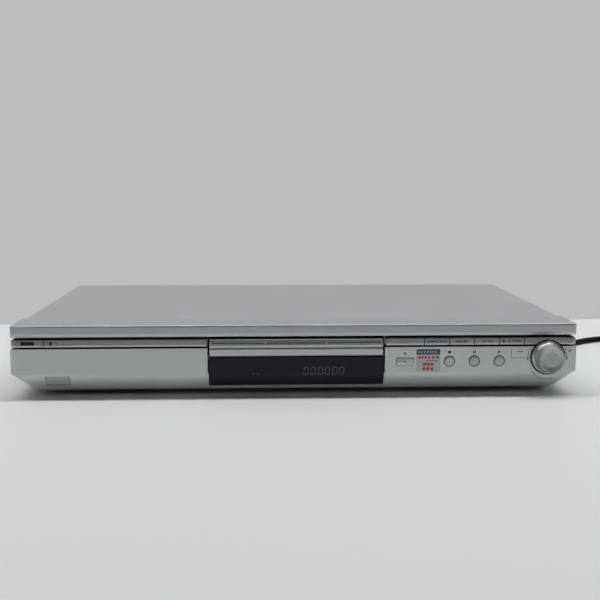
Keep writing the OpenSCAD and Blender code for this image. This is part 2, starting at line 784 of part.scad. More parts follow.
// Loader frame: base, side walls with the tray's grooves, gear posts and hinge ears
module loader_frame() {
    x0 = slider_left + 1;
    x1 = slider_right + slider_travel + 1;
    rib_t = 1.2;
    ear_x = traverse_half + seat_gap;
    color("dimgray")
    difference() {
        union() {
            block(-loader_half, loader_half, loader_front_d, loader_rear_d,
                  loader_z, loader_base_top);
            for (x = [-loader_half, rail_inner])
                block(x, x + loader_half - rail_inner, loader_front_d, loader_rear_d,
                      loader_z, wall_top);
            for (p = loader_legs) post(p[0], p[1], 3.5, floor_z, loader_z);
            // Posts of the drive gear and the pulley gear, each with a collar
            post(pinion_x, pinion_d, wheel_pin_r, loader_z, plate_z - 1);
            post(pinion_x, pinion_d, wheel_pin_r + 1.5, loader_z, gear_z - seat_gap);
            post(driver_x, pinion_d, driver_pin_r, loader_z, pulley_z + pulley_t + 1);
            post(driver_x, pinion_d, driver_pin_r + 1.5, loader_z, gear_z - 0.2 - seat_gap);
            // Guide ribs of the cam slider
            for (d = [slider_d0 - seat_gap - rib_t, slider_d0 + slider_t + seat_gap]) {
                block(x0, -pin_r - 2.5, d, d + rib_t, loader_z, loader_base_top + 3);
                block(pin_r + 2.5, x1, d, d + rib_t, loader_z, loader_base_top + 3);
            }
            // Ears for the mechanism's hinge
            for (s = [-1, 1])
                block(min(s * ear_x, s * (ear_x + 5)), max(s * ear_x, s * (ear_x + 5)),
                      hinge_d - 5, hinge_d + 5, loader_z, hinge_z + hinge_r + 2.5);
        }
        // Window for the mechanism
        block(-window_half_x, window_half_x, traverse_front_d - 0.2, hinge_d + 8,
              loader_z - 1, loader_base_top + 1);
        // Grooves that carry the tray's lips
        for (s = [-1, 1])
            block(s * tray_half - lip_w - touch_gap, s * tray_half + lip_w + touch_gap,
                  loader_front_d - 1, loader_rear_d + 1, lip_z - touch_gap,
                  lip_z + lip_h + touch_gap);
        // Recesses that leave ribs on the outside of the walls
        for (s = [-1, 1], i = [0:4])
            block(s * loader_half - 1.6, s * loader_half + 1.6, loader_front_d + 40 + i * 26,
                  loader_front_d + 60 + i * 26, loader_base_top + 3, lip_z - 4);
        post(motor_x, pinion_d, loading_motor_r + seat_gap, loader_z - 1, loader_base_top + 1);
        rod_x(-traverse_half - 9, traverse_half + 9, hinge_d, hinge_z, hinge_r + run_gap);
        for (p = loader_legs) post(p[0], p[1], 1.45, floor_z - 1, loader_base_top);
        for (s = [-1, 1])
            post(s * bridge_screw_x, spindle_d, 1.45, wall_top - 6, wall_top + 1);
    }
}

// Bridge over the tray that carries the clamper
module clamp_bridge() {
    half_l = 19;
    color("silver")
    difference() {
        union() {
            block(-loader_half, loader_half, spindle_d - half_l, spindle_d + half_l,
                  wall_top, wall_top + bridge_t);
            for (d = [spindle_d - half_l, spindle_d + half_l - bridge_t])
                block(-loader_half + 10, loader_half - 10, d, d + bridge_t,
                      wall_top, wall_top + 3.5);
        }
        post(0, spindle_d, bridge_hole_r, wall_top - 1, wall_top + bridge_t + 1);
        for (s = [-1, 1])
            post(s * bridge_screw_x, spindle_d, 1.6, wall_top - 1, wall_top + bridge_t + 1);
        for (s = [-1, 1])
            block(s * 38 - 12, s * 38 + 12, spindle_d - 10, spindle_d + 10,
                  wall_top - 1, wall_top + bridge_t + 1);
    }
}

// Small motor that drives the tray, seated in the loader's base
module loading_motor() {
    top = pulley_z - 1.4;
    color("silver")
    difference() {
        union() {
            post(motor_x, pinion_d, loading_motor_r, floor_z + 0.6, top);
            post(motor_x, pinion_d, 3, top, pulley_z - seat_gap);
        }
        post(motor_x, pinion_d, 1 + run_gap, floor_z + 3, pulley_z + 1);
    }
}

// Pulley groove outline in (radius, height), cut to the belt's seat
module pulley_outline(bore, radius) {
    seat = radius - belt_depth - touch_gap;
    polygon([
        [bore, pulley_z], [radius, pulley_z], [radius, belt_z - 0.3], [seat, belt_z - 0.2],
        [seat, belt_z + belt_t + 0.2], [radius, belt_z + belt_t + 0.3],
        [radius, pulley_z + pulley_t], [bore, pulley_z + pulley_t]
    ]);
}

// Points of a loop round two pulleys: an arc on each, joined by straight runs
function belt_loop(r_left, r_right, distance) =
    let (angle = acos((r_left - r_right) / distance), steps = 16)
    concat(
        [for (k = [0:steps]) let (a = angle + (360 - 2 * angle) * k / steps)
            r_left * [cos(a), sin(a)]],
        [for (k = [0:steps]) let (a = angle * (2 * k / steps - 1))
            [distance, 0] + r_right * [cos(a), sin(a)]]
    );

// Square-section belt between the motor's pulley and the large pulley
module drive_belt() {
    big = pulley_r - belt_depth;
    small = motor_pulley_r - belt_depth;
    color("black")
    translate([driver_x, front_y + pinion_d, belt_z]) linear_extrude(belt_t) difference() {
        polygon(belt_loop(big + belt_t, small + belt_t, motor_x - driver_x));
        polygon(belt_loop(big, small, motor_x - driver_x));
    }
}

// Motor's pulley with the shaft that it is pressed on
module motor_pulley() {
    color("white") {
        turned_z(motor_x, pinion_d) pulley_outline(0, motor_pulley_r);
        post(motor_x, pinion_d, 1, floor_z + 3.3, pulley_z + pulley_t + 1);
    }
}

// Large belt pulley with its pinion
module pulley_gear() {
    bore = driver_pin_r + run_gap;
    z0 = gear_z - 0.2;
    z1 = gear_z + gear_t + 0.2;
    color("white")
    translate([driver_x, front_y + pinion_d, 0]) difference() {
        union() {
            translate([0, 0, z0]) rotate(180 + 180 / driver_teeth)
                linear_extrude(z1 - z0) gear_outline(driver_teeth);
            translate([0, 0, z1]) cylinder(r = driver_r - dedendum, h = pulley_z - z1);
            rotate_extrude() pulley_outline(0, pulley_r);
        }
        translate([0, 0, z0 - 1]) cylinder(r = bore, h = pulley_z + pulley_t - z0 + 2);
    }
}

// Compound gear: a large wheel below and the pinion that moves the tray's rack above
module drive_gear() {
    bore = wheel_pin_r + run_gap;
    z1 = tray_z0 + 0.1;
    color("white")
    translate([pinion_x, front_y + pinion_d, 0]) difference() {
        union() {
            difference() {
                translate([0, 0, gear_z]) linear_extrude(gear_t) gear_outline(wheel_teeth);
                for (a = [30:60:330]) rotate(a)
                    translate([wheel_r * 0.58, 0, gear_z - 1])
                        cylinder(r = wheel_r * 0.2, h = gear_t + 2);
            }
            translate([0, 0, gear_z]) cylinder(r = 4.6, h = z1 - gear_z);
            translate([0, 0, z1]) rotate(180) linear_extrude(plate_z - seat_gap - z1)
                gear_outline(pinion_teeth);
        }
        translate([0, 0, gear_z - 1]) cylinder(r = bore, h = plate_z - gear_z + 2);
    }
}

// Slot between two points of an outline
module slot_outline(p0, p1, r) {
    step = p1 - p0;
    translate(p0) circle(r = r);
    translate(p1) circle(r = r);
    translate(p0) rotate(atan2(step[1], step[0])) translate([0, -r]) square([norm(step), 2 * r]);
}

// Slider whose slanted slot lifts the front of the mechanism
module cam_slider() {
    color("white")
    along_y(slider_d0, slider_d0 + slider_t) difference() {
        polygon([
            [slider_left, slider_z0], [slider_right, slider_z0], [slider_right, slider_z1],
            [slider_left + 18, slider_z1], [slider_left, hinge_z - pin_drop + pin_r + 3]
        ]);
        slot_outline([0, hinge_z], [-slider_travel, hinge_z - pin_drop], pin_r + 0.25);
    }
}

// ---------- tray ----------

// Tray: disc pocket, slot for the turntable, side lips and the rack underneath
module disc_tray() {
    wall = tray_wall;
    teeth = floor((rack_d1 - rack_d0) / (PI * tooth_module));
    rack_start = pinion_d + (0.5 - round(9 / (PI * tooth_module))) * PI * tooth_module;
    root = rack_x - dedendum;
    flank = tan(20);
    half_tooth = PI * tooth_module / 4 - backlash;
    color("#3a3a3e") {
        difference() {
            union() {
                block(-tray_half, tray_half, door_t, tray_rear_d, plate_z, tray_top);
                block(-tray_half - lip_w, tray_half + lip_w, door_t + 4, tray_rear_d,
                      lip_z, lip_z + lip_h);
            }
            post(0, spindle_d, pocket_r, pocket_z, tray_top + 1);
            translate([0, front_y + spindle_d, tray_top - 1.2])
                cylinder(r1 = pocket_r, r2 = pocket_r + 1.5, h = 1.3);
            post(0, spindle_d, small_pocket_r, pocket_z - 0.8, tray_top + 1);
            post(0, spindle_d, slot_r, plate_z - 1, tray_top + 1);
            block(-slot_r, slot_r, spindle_d, tray_rear_d + 1, plate_z - 1, tray_top + 1);
            // Hollow underside outside the pocket
            difference() {
                block(-tray_half + wall, tray_half - wall, door_t + wall, tray_rear_d - wall,
                      plate_z - 1, tray_top - wall);
                post(0, spindle_d, pocket_r + wall, plate_z - 2, tray_top);
                block(-slot_r - wall, slot_r + wall, spindle_d, tray_rear_d,
                      plate_z - 2, tray_top);
                block(-tray_half, rack_x + 1, 0, tray_rear_d, plate_z - 2, plate_z + wall);
            }
        }
        // Rack
        block(root - 2.4, root + 0.1, rack_d0, rack_d1, tray_z0, plate_z + 0.1);
        translate([0, front_y, tray_z0]) linear_extrude(rack_h + 0.1)
            for (i = [0:teeth - 1]) translate([rack_x, rack_start + i * PI * tooth_module])
                polygon([
                    [-dedendum - 0.2, -half_tooth - (dedendum + 0.2) * flank],
                    [addendum, -half_tooth + addendum * flank],
                    [addendum, half_tooth - addendum * flank],
                    [-dedendum - 0.2, half_tooth + (dedendum + 0.2) * flank]
                ]);
    }
}

// Door on the tray's front, in line with the trim strip and the panel
module tray_door() {
    z0 = door_z0;
    z1 = door_z1;
    groove = panel_top - 0.3;
    color("gainsboro")
    along_x(-door_half, door_half) polygon([
        [door_t, z0], [0.4, z0], [0, z0 + 0.5], [0, groove - 0.8], [0.4, groove - 0.4],
        [2, groove - 0.4], [2, groove + 0.7], [0.5, groove + 0.8], [0, groove + 2],
        [strip_lean, z1 - 1.7], [strip_lean + 0.8, z1 - 1.0], [2, z1 - 0.9], [2, z1],
        [door_t, z1]
    ]);
}

// ---------- mechanism ----------

// Frame that carries the disc motor and the pickup; hinged at the back, lifted at the front
module traverse_frame() {
    half = traverse_half;
    plate0 = traverse_top - traverse_plate;
    rib = 2.5;
    d0 = traverse_front_d;
    color("#4a4d52")
    difference() {
        union() {
            difference() {
                block(-half, half, d0, traverse_rear_d, traverse_z, traverse_top);
                block(-half + rib, half - rib, d0 + rib, path_d1, traverse_z - 1, plate0);
                block(-path_half, path_half, path_d0, path_d1, traverse_z - 2, traverse_top + 1);
            }
            for (s = [-1, 1])
                block(s * guide_x - 2.2, s * guide_x + 2.2, path_d0 - 4, path_d0 + 1,
                      traverse_z, plate0 + 0.5);
            rod_y(0, hinge_z, pin_r, slider_d0 - 1.5, d0 + 1);
            rod_x(-half - 5, half + 5, hinge_d, hinge_z, hinge_r);
        }
        post(0, spindle_d, 6, plate0 - 1, traverse_top + 1);
        for (s = [-1, 1]) rod_y(s * guide_x, rod_z, rod_r + 0.02, path_d0 - 5, path_d1 + 3);
        rod_y(screw_x, screw_z, screw_r + run_gap, path_d1 - 1, path_d1 + 4);
        rod_y(screw_x, screw_z, sled_motor_r + seat_gap, path_d0 - 16, path_d0 + 1);
    }
}

// Flat motor that turns the disc
module spindle_motor() {
    plate0 = traverse_top - traverse_plate;
    color("silver")
    turned_z(0, spindle_d) polygon([
        [spindle_r, plate0 - 7.5], [spindle_motor_r - 1.5, plate0 - 7.5],
        [spindle_motor_r, plate0 - 6], [spindle_motor_r, plate0], [5.5, plate0],
        [5.5, traverse_top + 0.4], [spindle_r, traverse_top + 0.4]
    ]);
}

// Two rods that guide the pickup
module guide_rods() {
    color("lightgray")
    for (s = [-1, 1]) rod_y(s * guide_x, rod_z, rod_r, path_d0 - 4, path_d1 + 3);
}

// Motor that turns the pickup's lead screw
module sled_motor() {
    color("silver")
    difference() {
        rod_y(screw_x, screw_z, sled_motor_r, path_d0 - 15, path_d0 - 1);
        rod_y(screw_x, screw_z, screw_end_r + run_gap, path_d0 - 12, path_d0);
    }
}

// Lead screw with its thin end in the motor
module lead_screw() {
    color("lightgray") {
        rod_y(screw_x, screw_z, screw_end_r, path_d0 - 11, path_d0);
        rod_y(screw_x, screw_z, screw_r, path_d0 - 0.5, path_d1 + 3);
    }
}

// Carriage of the laser pickup
module pickup_sled() {
    half = guide_x + 4;
    d0 = pickup_d0;
    top = traverse_top - 0.4;
    color("#33363b")
    difference() {
        union() {
            block(-half, half, d0, d0 + pickup_len, traverse_z - 1, top);
            block(half - 1, screw_x + 3.4, d0 + 6, d0 + 18, screw_z - 2.6, screw_z + 3);
            block(-12.5, 12.5, d0 + 0.5, d0 + 17, top - 1, plate_z + 1);
        }
        for (s = [-1, 1]) rod_y(s * guide_x, rod_z, rod_r + 0.06, d0 - 1, d0 + pickup_len + 1);
        rod_y(screw_x, screw_z, screw_r + 0.06, d0, d0 + pickup_len);
        // Recess round the lens and notches at the rear corners
        post(0, lens_d, 4.2, plate_z, plate_z + 2);
        for (s = [-1, 1])
            block(s * half - 6, s * half + 6, d0 + pickup_len - 7, d0 + pickup_len + 1,
                  traverse_z - 2, rod_z - rod_r - 1.2);
    }
}

// Objective lens in its holder
module pickup_lens() {
    color("lightsteelblue")
    turned_z(0, lens_d) polygon([
        [0, plate_z], [3.6, plate_z], [3.6, plate_z + 1.4], [2.6, plate_z + 1.5],
        [1.8, plate_z + 2.0], [0.9, plate_z + 2.25], [0, plate_z + 2.3]
    ]);
}

// Turntable with its centring cone and shaft
module turntable() {
    shaft_r = spindle_r - run_gap;
    color("black")
    turned_z(0, spindle_d) polygon([
        [0, traverse_top - 8], [shaft_r, traverse_top - 8], [shaft_r, table_z - 2],
        [5, table_z - 2], [5, table_z], [turntable_r, table_z], [turntable_r, disc_z - 0.8],
        [turntable_r - 0.6, disc_z], [9, disc_z], [9, disc_z - 0.8], [7.4, disc_z - 0.8],
        [7.4, disc_z + 0.7], [5, disc_z + 2.2], [0, disc_z + 2.2]
    ]);
}

// Clamper that hangs in the bridge and presses the disc on the turntable
module clamper() {
    low = disc_z + 2.8;
    flange = wall_top + bridge_t + seat_gap;
    neck_r = bridge_hole_r - 1;
    color("black")
    turned_z(0, spindle_d) polygon([
        [0, low + 0.9], [8, low + 0.9], [8.4, low], [clamper_r, low], [clamper_r, low + 1.4],
        [neck_r, low + 1.8], [neck_r, flange], [neck_r + 3.4, flange],
        [neck_r + 3.4, flange + 1.1], [5, flange + 1.1], [4, flange + 0.5], [0, flange + 0.5]
    ]);
}

// ---------- boards ----------

// Board with holes over its standoffs
module board(x0, x1, d0, d1, holes) {
    difference() {
        block(x0, x1, d0, d1, pcb_z, pcb_top);
        for (p = holes) post(p[0], p[1], 1.2, pcb_z - 1, pcb_top + 1);
    }
}

// Board with the decoder, behind the left part of the front
module main_board() {
    color("darkgreen") board(main_x0, main_x1, main_d0, main_d1, main_standoffs);
}

// Board with the mains supply
module power_board() {
    color("peru") board(power_x2, power_x3, power_d0, power_d1, power_standoffs);
}

// Chips, capacitors and connectors on the two boards
module board_components() {
    mid_x = (main_x0 + main_x1) / 2;
    mid_d = (main_d0 + main_d1) / 2;
    color("#26282b") {
        for (c = [[0, -40, 14, 14], [-34, -30, 10, 6], [32, -36, 6, 11], [4, 6, 9, 9],
                  [-36, 18, 8, 8]])
            block(mid_x + c[0] - c[2], mid_x + c[0] + c[2], mid_d + c[1] - c[3],
                  mid_d + c[1] + c[3], pcb_top, pcb_top + 2);
        for (i = [0:5]) post(mid_x - 44 + i * 15, mid_d + 48, 3.2, pcb_top, pcb_top + 8);
        block(cable_x - 8, cable_x + 8, main_d0 + 3, main_d0 + 8, pcb_top, pcb_top + 6);
        for (x = [main_x1 - 9, power_x2 + 3])
            block(x, x + 6, link_d - 8, link_d + 8, pcb_top, pcb_top + 6);
    }
}

// Switching transformer: core, bobbin and winding
module power_transformer() {
    x = (power_x2 + power_x3) / 2 - 8;
    d = power_d0 + 86;
    color("#5a4a2c") {
        difference() {
            block(x - 15, x + 15, d - 6, d + 6, pcb_top + 2, pcb_top + 26);
            for (s = [-1, 1])
                block(x + s * 8.5 - 3, x + s * 8.5 + 3, d - 7, d + 7, pcb_top + 6, pcb_top + 22);
        }
        post(x, d, 10, pcb_top + 7, pcb_top + 21);
        block(x - 13, x + 13, d - 11, d + 11, pcb_top, pcb_top + 3);
    }
}

// Upright capacitors of the supply
module power_capacitors() {
    x = (power_x2 + power_x3) / 2;
    d = power_d0 + 124;
    color("midnightblue") {
        post(x - 22, d, 9, pcb_top, pcb_top + 30);
        for (i = [0:3]) post(power_x2 + 16 + i * 15, power_d0 + 52, 5, pcb_top, pcb_top + 20);
    }
}

// Finned heat sink
module heat_sink() {
    x = power_x3 - 38;
    d = power_d0 + 78;
    color("silver")
    translate([x, front_y + d, pcb_top]) linear_extrude(28) {
        square([3, 44]);
        for (i = [0:8]) translate([0, i * 5.25]) square([14, 2]);
    }
}

// Upright boards behind the front: buttons and knob, power button, display
module front_boards() {
    color("darkgreen") {
        block(bay_half + bay_wall + 1, half_w - carrier_d - 1, board_d, board_d + board_t,
              row_z - 8, visor_z - 0.6);
        block(carrier_d + 1 - half_w, power_x1 + 12, board_d, board_d + board_t,
              strip_z0 - 4, visor_z - 0.6);
        block(-bay_half - 9, bay_half + 9, display_board_d, display_board_d + board_t,
              crease_z - 6, bay_floor_z - bay_wall - 0.6);
    }
}

// Glass display tube behind the window
module display_tube() {
    color("darkslategray") {
        block(-46, 46, display_board_d - 5.5, display_board_d,
              crease_z - 2.5, bay_floor_z - bay_wall - 1.6);
        rod_x(46, 52, display_board_d - 2.7, crease_z + 3, 1.6);
    }
}

switch_places = concat(
    [for (i = [0:2]) [row_x(i), row_z]],
    [for (i = [0:3]) [row_x(i) - button_pitch / 2, strip_mid]],
    [[tray_button_x, row_z], [(power_x0 + power_x1) / 2, strip_mid]]
);

// Push switches on the front boards, one behind each button
module tact_switches() {
    color("black")
    for (p = switch_places) {
        block(p[0] - 3, p[0] + 3, switch_d, board_d, p[1] - 3, p[1] + 3);
        rod_y(p[0], p[1], 1.6, plunger_d, switch_d + 0.1);
    }
}

// Rotary encoder behind the knob, with the bush that its shaft turns in
module encoder_body() {
    color("silver")
    difference() {
        union() {
            block(knob_x - 6, knob_x + 6, carrier_d, board_d, knob_z - 6, knob_z + 6);
            rod_y(knob_x, knob_z, 4.5, knob_floor_d, carrier_d + 1);
        }
        rod_y(knob_x, knob_z, 3, 0, board_d - 2);
    }
}

// Housing of the round sockets
module jack_block() {
    x0 = jack_x - 1.5 * jack_pitch;
    back = cabinet_d - sheet - seat_gap;
    color("black")
    difference() {
        union() {
            block(x0, x0 + 3 * jack_pitch, back - 12, back, pcb_top, jack_z + 1.5 * jack_pitch);
            for (p = jack_places)
                rod_y(p[0], p[1], jack_core_r, back - 1, cabinet_d + jack_out - 1.5);
        }
        for (i = [1, 2])
            block(x0 + i * jack_pitch - 0.5, x0 + i * jack_pitch + 0.5, back - 2, back + 1,
                  pcb_top - 1, jack_z + 2 * jack_pitch);
        for (p = jack_places) rod_y(p[0], p[1], 1.6, back - 9, cabinet_d + jack_out);
    }
}

// Metal sleeves of the round sockets
module jack_sleeves() {
    back = cabinet_d - sheet - seat_gap;
    color("silver")
    for (p = jack_places) turned_y(p[0], p[1]) polygon([
        [jack_core_r, back], [jack_r, back], [jack_r, cabinet_d + jack_out - 0.4],
        [jack_r - 0.4, cabinet_d + jack_out], [jack_core_r, cabinet_d + jack_out]
    ]);
}

// Four-pin video socket and optical socket with its closed flap
module signal_sockets() {
    back = cabinet_d - sheet - seat_gap;
    color("black") {
        difference() {
            union() {
                block(video_x - 7, video_x + 7, back - 12, back, pcb_top, jack_z + 7);
                rod_y(video_x, jack_z, 4.9, back - 1, cabinet_d + 0.8);
            }
            for (s = [-1, 1], z = [-1.3, 2.2])
                rod_y(video_x + s * (z < 0 ? 2.9 : 1.8), jack_z + z, 0.6, back - 4, cabinet_d + 1);
            block(video_x - 1.2, video_x + 1.2, cabinet_d - 3, cabinet_d + 1,
                  jack_z - 3.9, jack_z - 2.9);
        }
        difference() {
            union() {
                block(optical_x - 7, optical_x + 7, back - 12, back, pcb_top, jack_z + 7);
                block(optical_x - 4.9, optical_x + 4.9, back - 1, cabinet_d + 0.6,
                      jack_z - 4.9, jack_z + 4.9);
            }
            for (z = [-3.6, 3.2])
                block(optical_x - 3.8, optical_x + 3.8, cabinet_d, cabinet_d + 1,
                      jack_z + z, jack_z + z + 0.4);
        }
    }
}

// Outline of the two-pole mains connector
module mains_outline(w, h) {
    for (s = [-1, 1]) translate([s * (w - h) / 2, 0]) circle(r = h / 2);
    translate([-(w - h) / 2, -h * 0.42]) square([w - h, h * 0.84]);
}

// Mains inlet with its two pins
module mains_inlet() {
    face = cabinet_d + 0.5;
    color("#202022") {
        difference() {
            block(inlet_x - 11, inlet_x + 11, face - 13, face, inlet_z - 6, inlet_z + 6);
            translate([inlet_x, 0, inlet_z]) along_y(face - inlet_depth, face + 1)
                mains_outline(inlet_w, inlet_h);
        }
        for (s = [-1, 1])
            rod_y(inlet_x + s * 4.3, inlet_z, 1.15, face - inlet_depth - 1, face - 1);
    }
}

// Flat cables: front board to main board, and supply to main board
module flat_cables() {
    front_run = [
        [board_d + board_t + 0.3, 42.5], [18, 42.3], [20.5, 41], [22, 38.5], [24, 30],
        [27, 23], [32, 19.5], [40, 18.6], [46, 19.2], [50, 19.8], [53, 19.6],
        [main_d0 + 5, pcb_top + 7], [main_d0 + 5, pcb_top + 6.3]
    ];
    link_run = [
        [main_x1 - 6, pcb_top + 6], [main_x1 - 5.4, 19.2], [main_x1 - 3, 20], [main_x1, 19],
        [main_x1 + 4, 15], [main_x1 + 9, 10], [main_x1 + 15, floor_z + 0.6],
        [main_x1 + 24, floor_z], [power_x2 - 24, floor_z], [power_x2 - 15, floor_z + 0.6],
        [power_x2 - 9, 10], [power_x2 - 4, 15], [power_x2, 19], [power_x2 + 3, 20],
        [power_x2 + 5.4, 19.2], [power_x2 + 6, pcb_top + 6]
    ];
    function back(run, shift) = [for (i = [len(run) - 1:-1:0]) run[i] + shift];
    color("whitesmoke") {
        along_x(cable_x - 6, cable_x + 6)
            polygon(concat(front_run, back(front_run, [-0.3, -0.3])));
        along_y(link_d - 6, link_d + 6)
            polygon(concat(link_run, back(link_run, [0, 0.35])));
    }
}

// ---------- controls ----------

// Button set in the trim strip, with a stem through the wall behind it
module strip_button(x0, x1) {
    mid = (x0 + x1) / 2;
    intersection() {
        strip_form();
        block(x0, x1, -1, strip_t - 1.3, strip_z0 - 1, strip_z1 + 1);
    }
    block(mid - 2, mid + 2, strip_t - 1.4, stem_end_d, strip_mid - 1.5, strip_mid + 1.5);
}

// Button number i of the four in the strip
module pitch_button(i) {
    split = 0.4;
    color("gainsboro") strip_button(row_x(i - 1) + split, row_x(i) - split);
}

module power_button() {
    color("gainsboro") strip_button(power_x0 + 0.2, power_x1 - 0.2);
}

module replay_button() { pitch_button(0); }

module skip_back_button() { pitch_button(1); }

module skip_forward_button() { pitch_button(2); }

module zoom_button() { pitch_button(3); }

// Round button number i, with a flange behind the panel and a stem
module round_button(i) {
    r = round_button_r;
    flange = front_wall + seat_gap;
    color("silver")
    turned_y(row_x(i), row_z) polygon([
        [0, -button_out - 0.1], [r * 0.5, -button_out - 0.06], [r - 0.9, -button_out + 0.05],
        [r - 0.3, -button_out + 0.4], [r, -button_out + 1.1], [r, flange], [r + 1.3, flange],
        [r + 1.3, flange + 1.2], [2, flange + 1.2], [2, stem_end_d], [0, stem_end_d]
    ]);
}

module stop_button() { round_button(0); }

module pause_button() { round_button(1); }

module play_button() { round_button(2); }

// Wide button that opens and closes the tray, with a groove along it
module tray_button() {
    w = tray_button_w / 2;
    h = tray_button_h / 2;
    flange = front_wall + seat_gap;
    x = tray_button_x;
    color("silver") {
        along_x(x - w, x + w) polygon([
            [flange + 0.1, row_z - h], [0.2 - button_out, row_z - h], [-button_out, row_z - h + 0.4],
            [-button_out, row_z - 0.35], [0.35 - button_out, row_z], [-button_out, row_z + 0.35],
            [0.2 - button_out, row_z + h - 0.9], [0.8 - button_out, row_z + h],
            [flange + 0.1, row_z + h]
        ]);
        block(x - w - 1.3, x + w + 1.3, flange, flange + 1.2, row_z - h - 1.3, row_z + h + 1.3);
        block(x - 2, x + 2, flange + 1, stem_end_d, row_z - 2, row_z + 2);
    }
}

// Knob: knurled base, waisted side and dished face, on its shaft
module jog_knob() {
    ribs = 60;
    waist = knob_r - knob_face_r;
    color("silver")
    difference() {
        union() {
            turned_y(knob_x, knob_z) polygon(concat(
                [[0, 2 - knob_out - 1.4], [knob_face_r * 0.6, 0.75 - knob_out],
                 [knob_face_r - 0.7, -knob_out], [knob_face_r, 0.7 - knob_out],
                 [knob_face_r, 2 - knob_out]],
                [for (a = [0:10:80])
                    [knob_face_r + waist * 0.72 * (1 - cos(a)),
                     -knob_out * 0.8 + (knob_out * 0.8 - 2.2) * sin(a)]],
                [[knob_r - 0.5, -2], [knob_r, -1.5], [knob_r, 1.6], [knob_r - 2, 1.6],
                 [knob_r - 2, 0], [5, 0], [5, 3.4], [2.95, 3.4], [2.95, board_d - 2.6],
                 [0, board_d - 2.6]]
            ));
        }
        for (i = [0:ribs - 1]) translate([knob_x, front_y - 1.2, knob_z]) rotate([0, 360 / ribs * i, 0])
            translate([knob_r + 0.08, 1.4, 0]) rotate([0, 45, 0]) cube([0.5, 3, 0.5], center = true);
    }
}

// ---------- mains lead ----------

// Connector in the inlet, with its tapered strain relief
module lead_connector() {
    face = cabinet_d + 0.5;
    start = lead_route[0][1] - front_y;
    body_end = face + 20;
    color("black") {
        difference() {
            translate([inlet_x, 0, inlet_z]) along_y(face - inlet_depth + 0.5, face + 1)
                mains_outline(inlet_w - 0.4, inlet_h - 0.4);
            for (s = [-1, 1])
                rod_y(inlet_x + s * 4.3, inlet_z, 1.3, face - inlet_depth, face - 0.5);
        }
        translate([inlet_x, 0, inlet_z]) along_y(face, body_end) mains_outline(18, 10.4);
        translate([inlet_x, front_y + body_end, inlet_z]) rotate([-90, 0, 0])
            cylinder(r1 = 4.4, r2 = lead_r + 0.3, h = start - body_end);
    }
}

// Mains lead from the connector to the coil
module mains_lead() {
    color("black") tube(lead_route, lead_r, 8);
}

// Outer shape of the coil that holds the rest of the lead
module mains_coil() {
    color("black")
    translate([coil_x, coil_y, 0]) rotate_extrude()
        translate([coil_inner_r, 0]) square([coil_outer_r - coil_inner_r, 2 * lead_dia]);
}

// Flat two-pin plug lying beside the coil
module mains_plug() {
    x = coil_x + coil_outer_r - lead_r;
    z = 6.9;
    relief_y = coil_y - 17;
    body_y = relief_y - 28;
    tip_y = body_y - 34;
    color("black") {
        translate([x, relief_y, z]) rotate([90, 0, 0])
            cylinder(r1 = lead_r + 0.4, r2 = 4.6, h = relief_y - body_y + 1);
        translate([0, 0, z - 6.85]) linear_extrude(13.7) polygon([
            [x - 8, body_y], [x + 8, body_y], [x + 17.6, body_y - 12], [x + 17.6, tip_y + 6],
            [x + 13, tip_y], [x - 13, tip_y], [x - 17.6, tip_y + 6], [x - 17.6, body_y - 12]
        ]);
        for (s = [-1, 1]) translate([x + s * 9.5, tip_y + 1, z]) rotate([90, 0, 0])
            cylinder(r = 2, h = 20);
    }
}

chassis_base();
rear_panel();
top_cover();
front_panel();
top_cap();
trim_strips();
display_window();
sensor_window();
feet();
case_screws();
loader_frame();
clamp_bridge();
main_board();
board_components();
power_board();
power_transformer();
power_capacitors();
heat_sink();
front_boards();
display_tube();
tact_switches();
encoder_body();
jack_block();
jack_sleeves();
signal_sockets();
mains_inlet();
flat_cables();
loading_motor();
drive_belt();
disc_tray();
tray_door();
motor_pulley();
pulley_gear();
drive_gear();
cam_slider();
traverse_frame();
spindle_motor();
guide_rods();
sled_motor();
turntable();
clamper();
pickup_sled();
pickup_lens();
lead_screw();
power_button();
tray_button();
stop_button();
pause_button();
play_button();
replay_button();
skip_back_button();
skip_forward_button();
zoom_button();
jog_knob();
mains_lead();
mains_coil();
mains_plug();
lead_connector();
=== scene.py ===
"""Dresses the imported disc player: materials, prints, the mains lead, a table and soft light."""
import math

import bmesh
import bpy
from mathutils import Matrix, Vector


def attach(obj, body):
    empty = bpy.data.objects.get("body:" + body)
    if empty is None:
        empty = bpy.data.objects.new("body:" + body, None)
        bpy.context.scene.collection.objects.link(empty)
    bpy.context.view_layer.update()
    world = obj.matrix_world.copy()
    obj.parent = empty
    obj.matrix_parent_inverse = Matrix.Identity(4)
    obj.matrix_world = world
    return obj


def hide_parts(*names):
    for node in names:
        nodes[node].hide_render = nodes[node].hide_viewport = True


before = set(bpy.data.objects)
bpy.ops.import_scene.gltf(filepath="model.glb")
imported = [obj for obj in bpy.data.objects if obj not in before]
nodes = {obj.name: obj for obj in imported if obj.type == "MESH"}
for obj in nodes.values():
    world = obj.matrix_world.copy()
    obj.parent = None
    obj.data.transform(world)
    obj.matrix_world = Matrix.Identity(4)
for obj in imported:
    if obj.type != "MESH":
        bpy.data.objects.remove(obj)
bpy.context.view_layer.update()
scene = bpy.context.scene

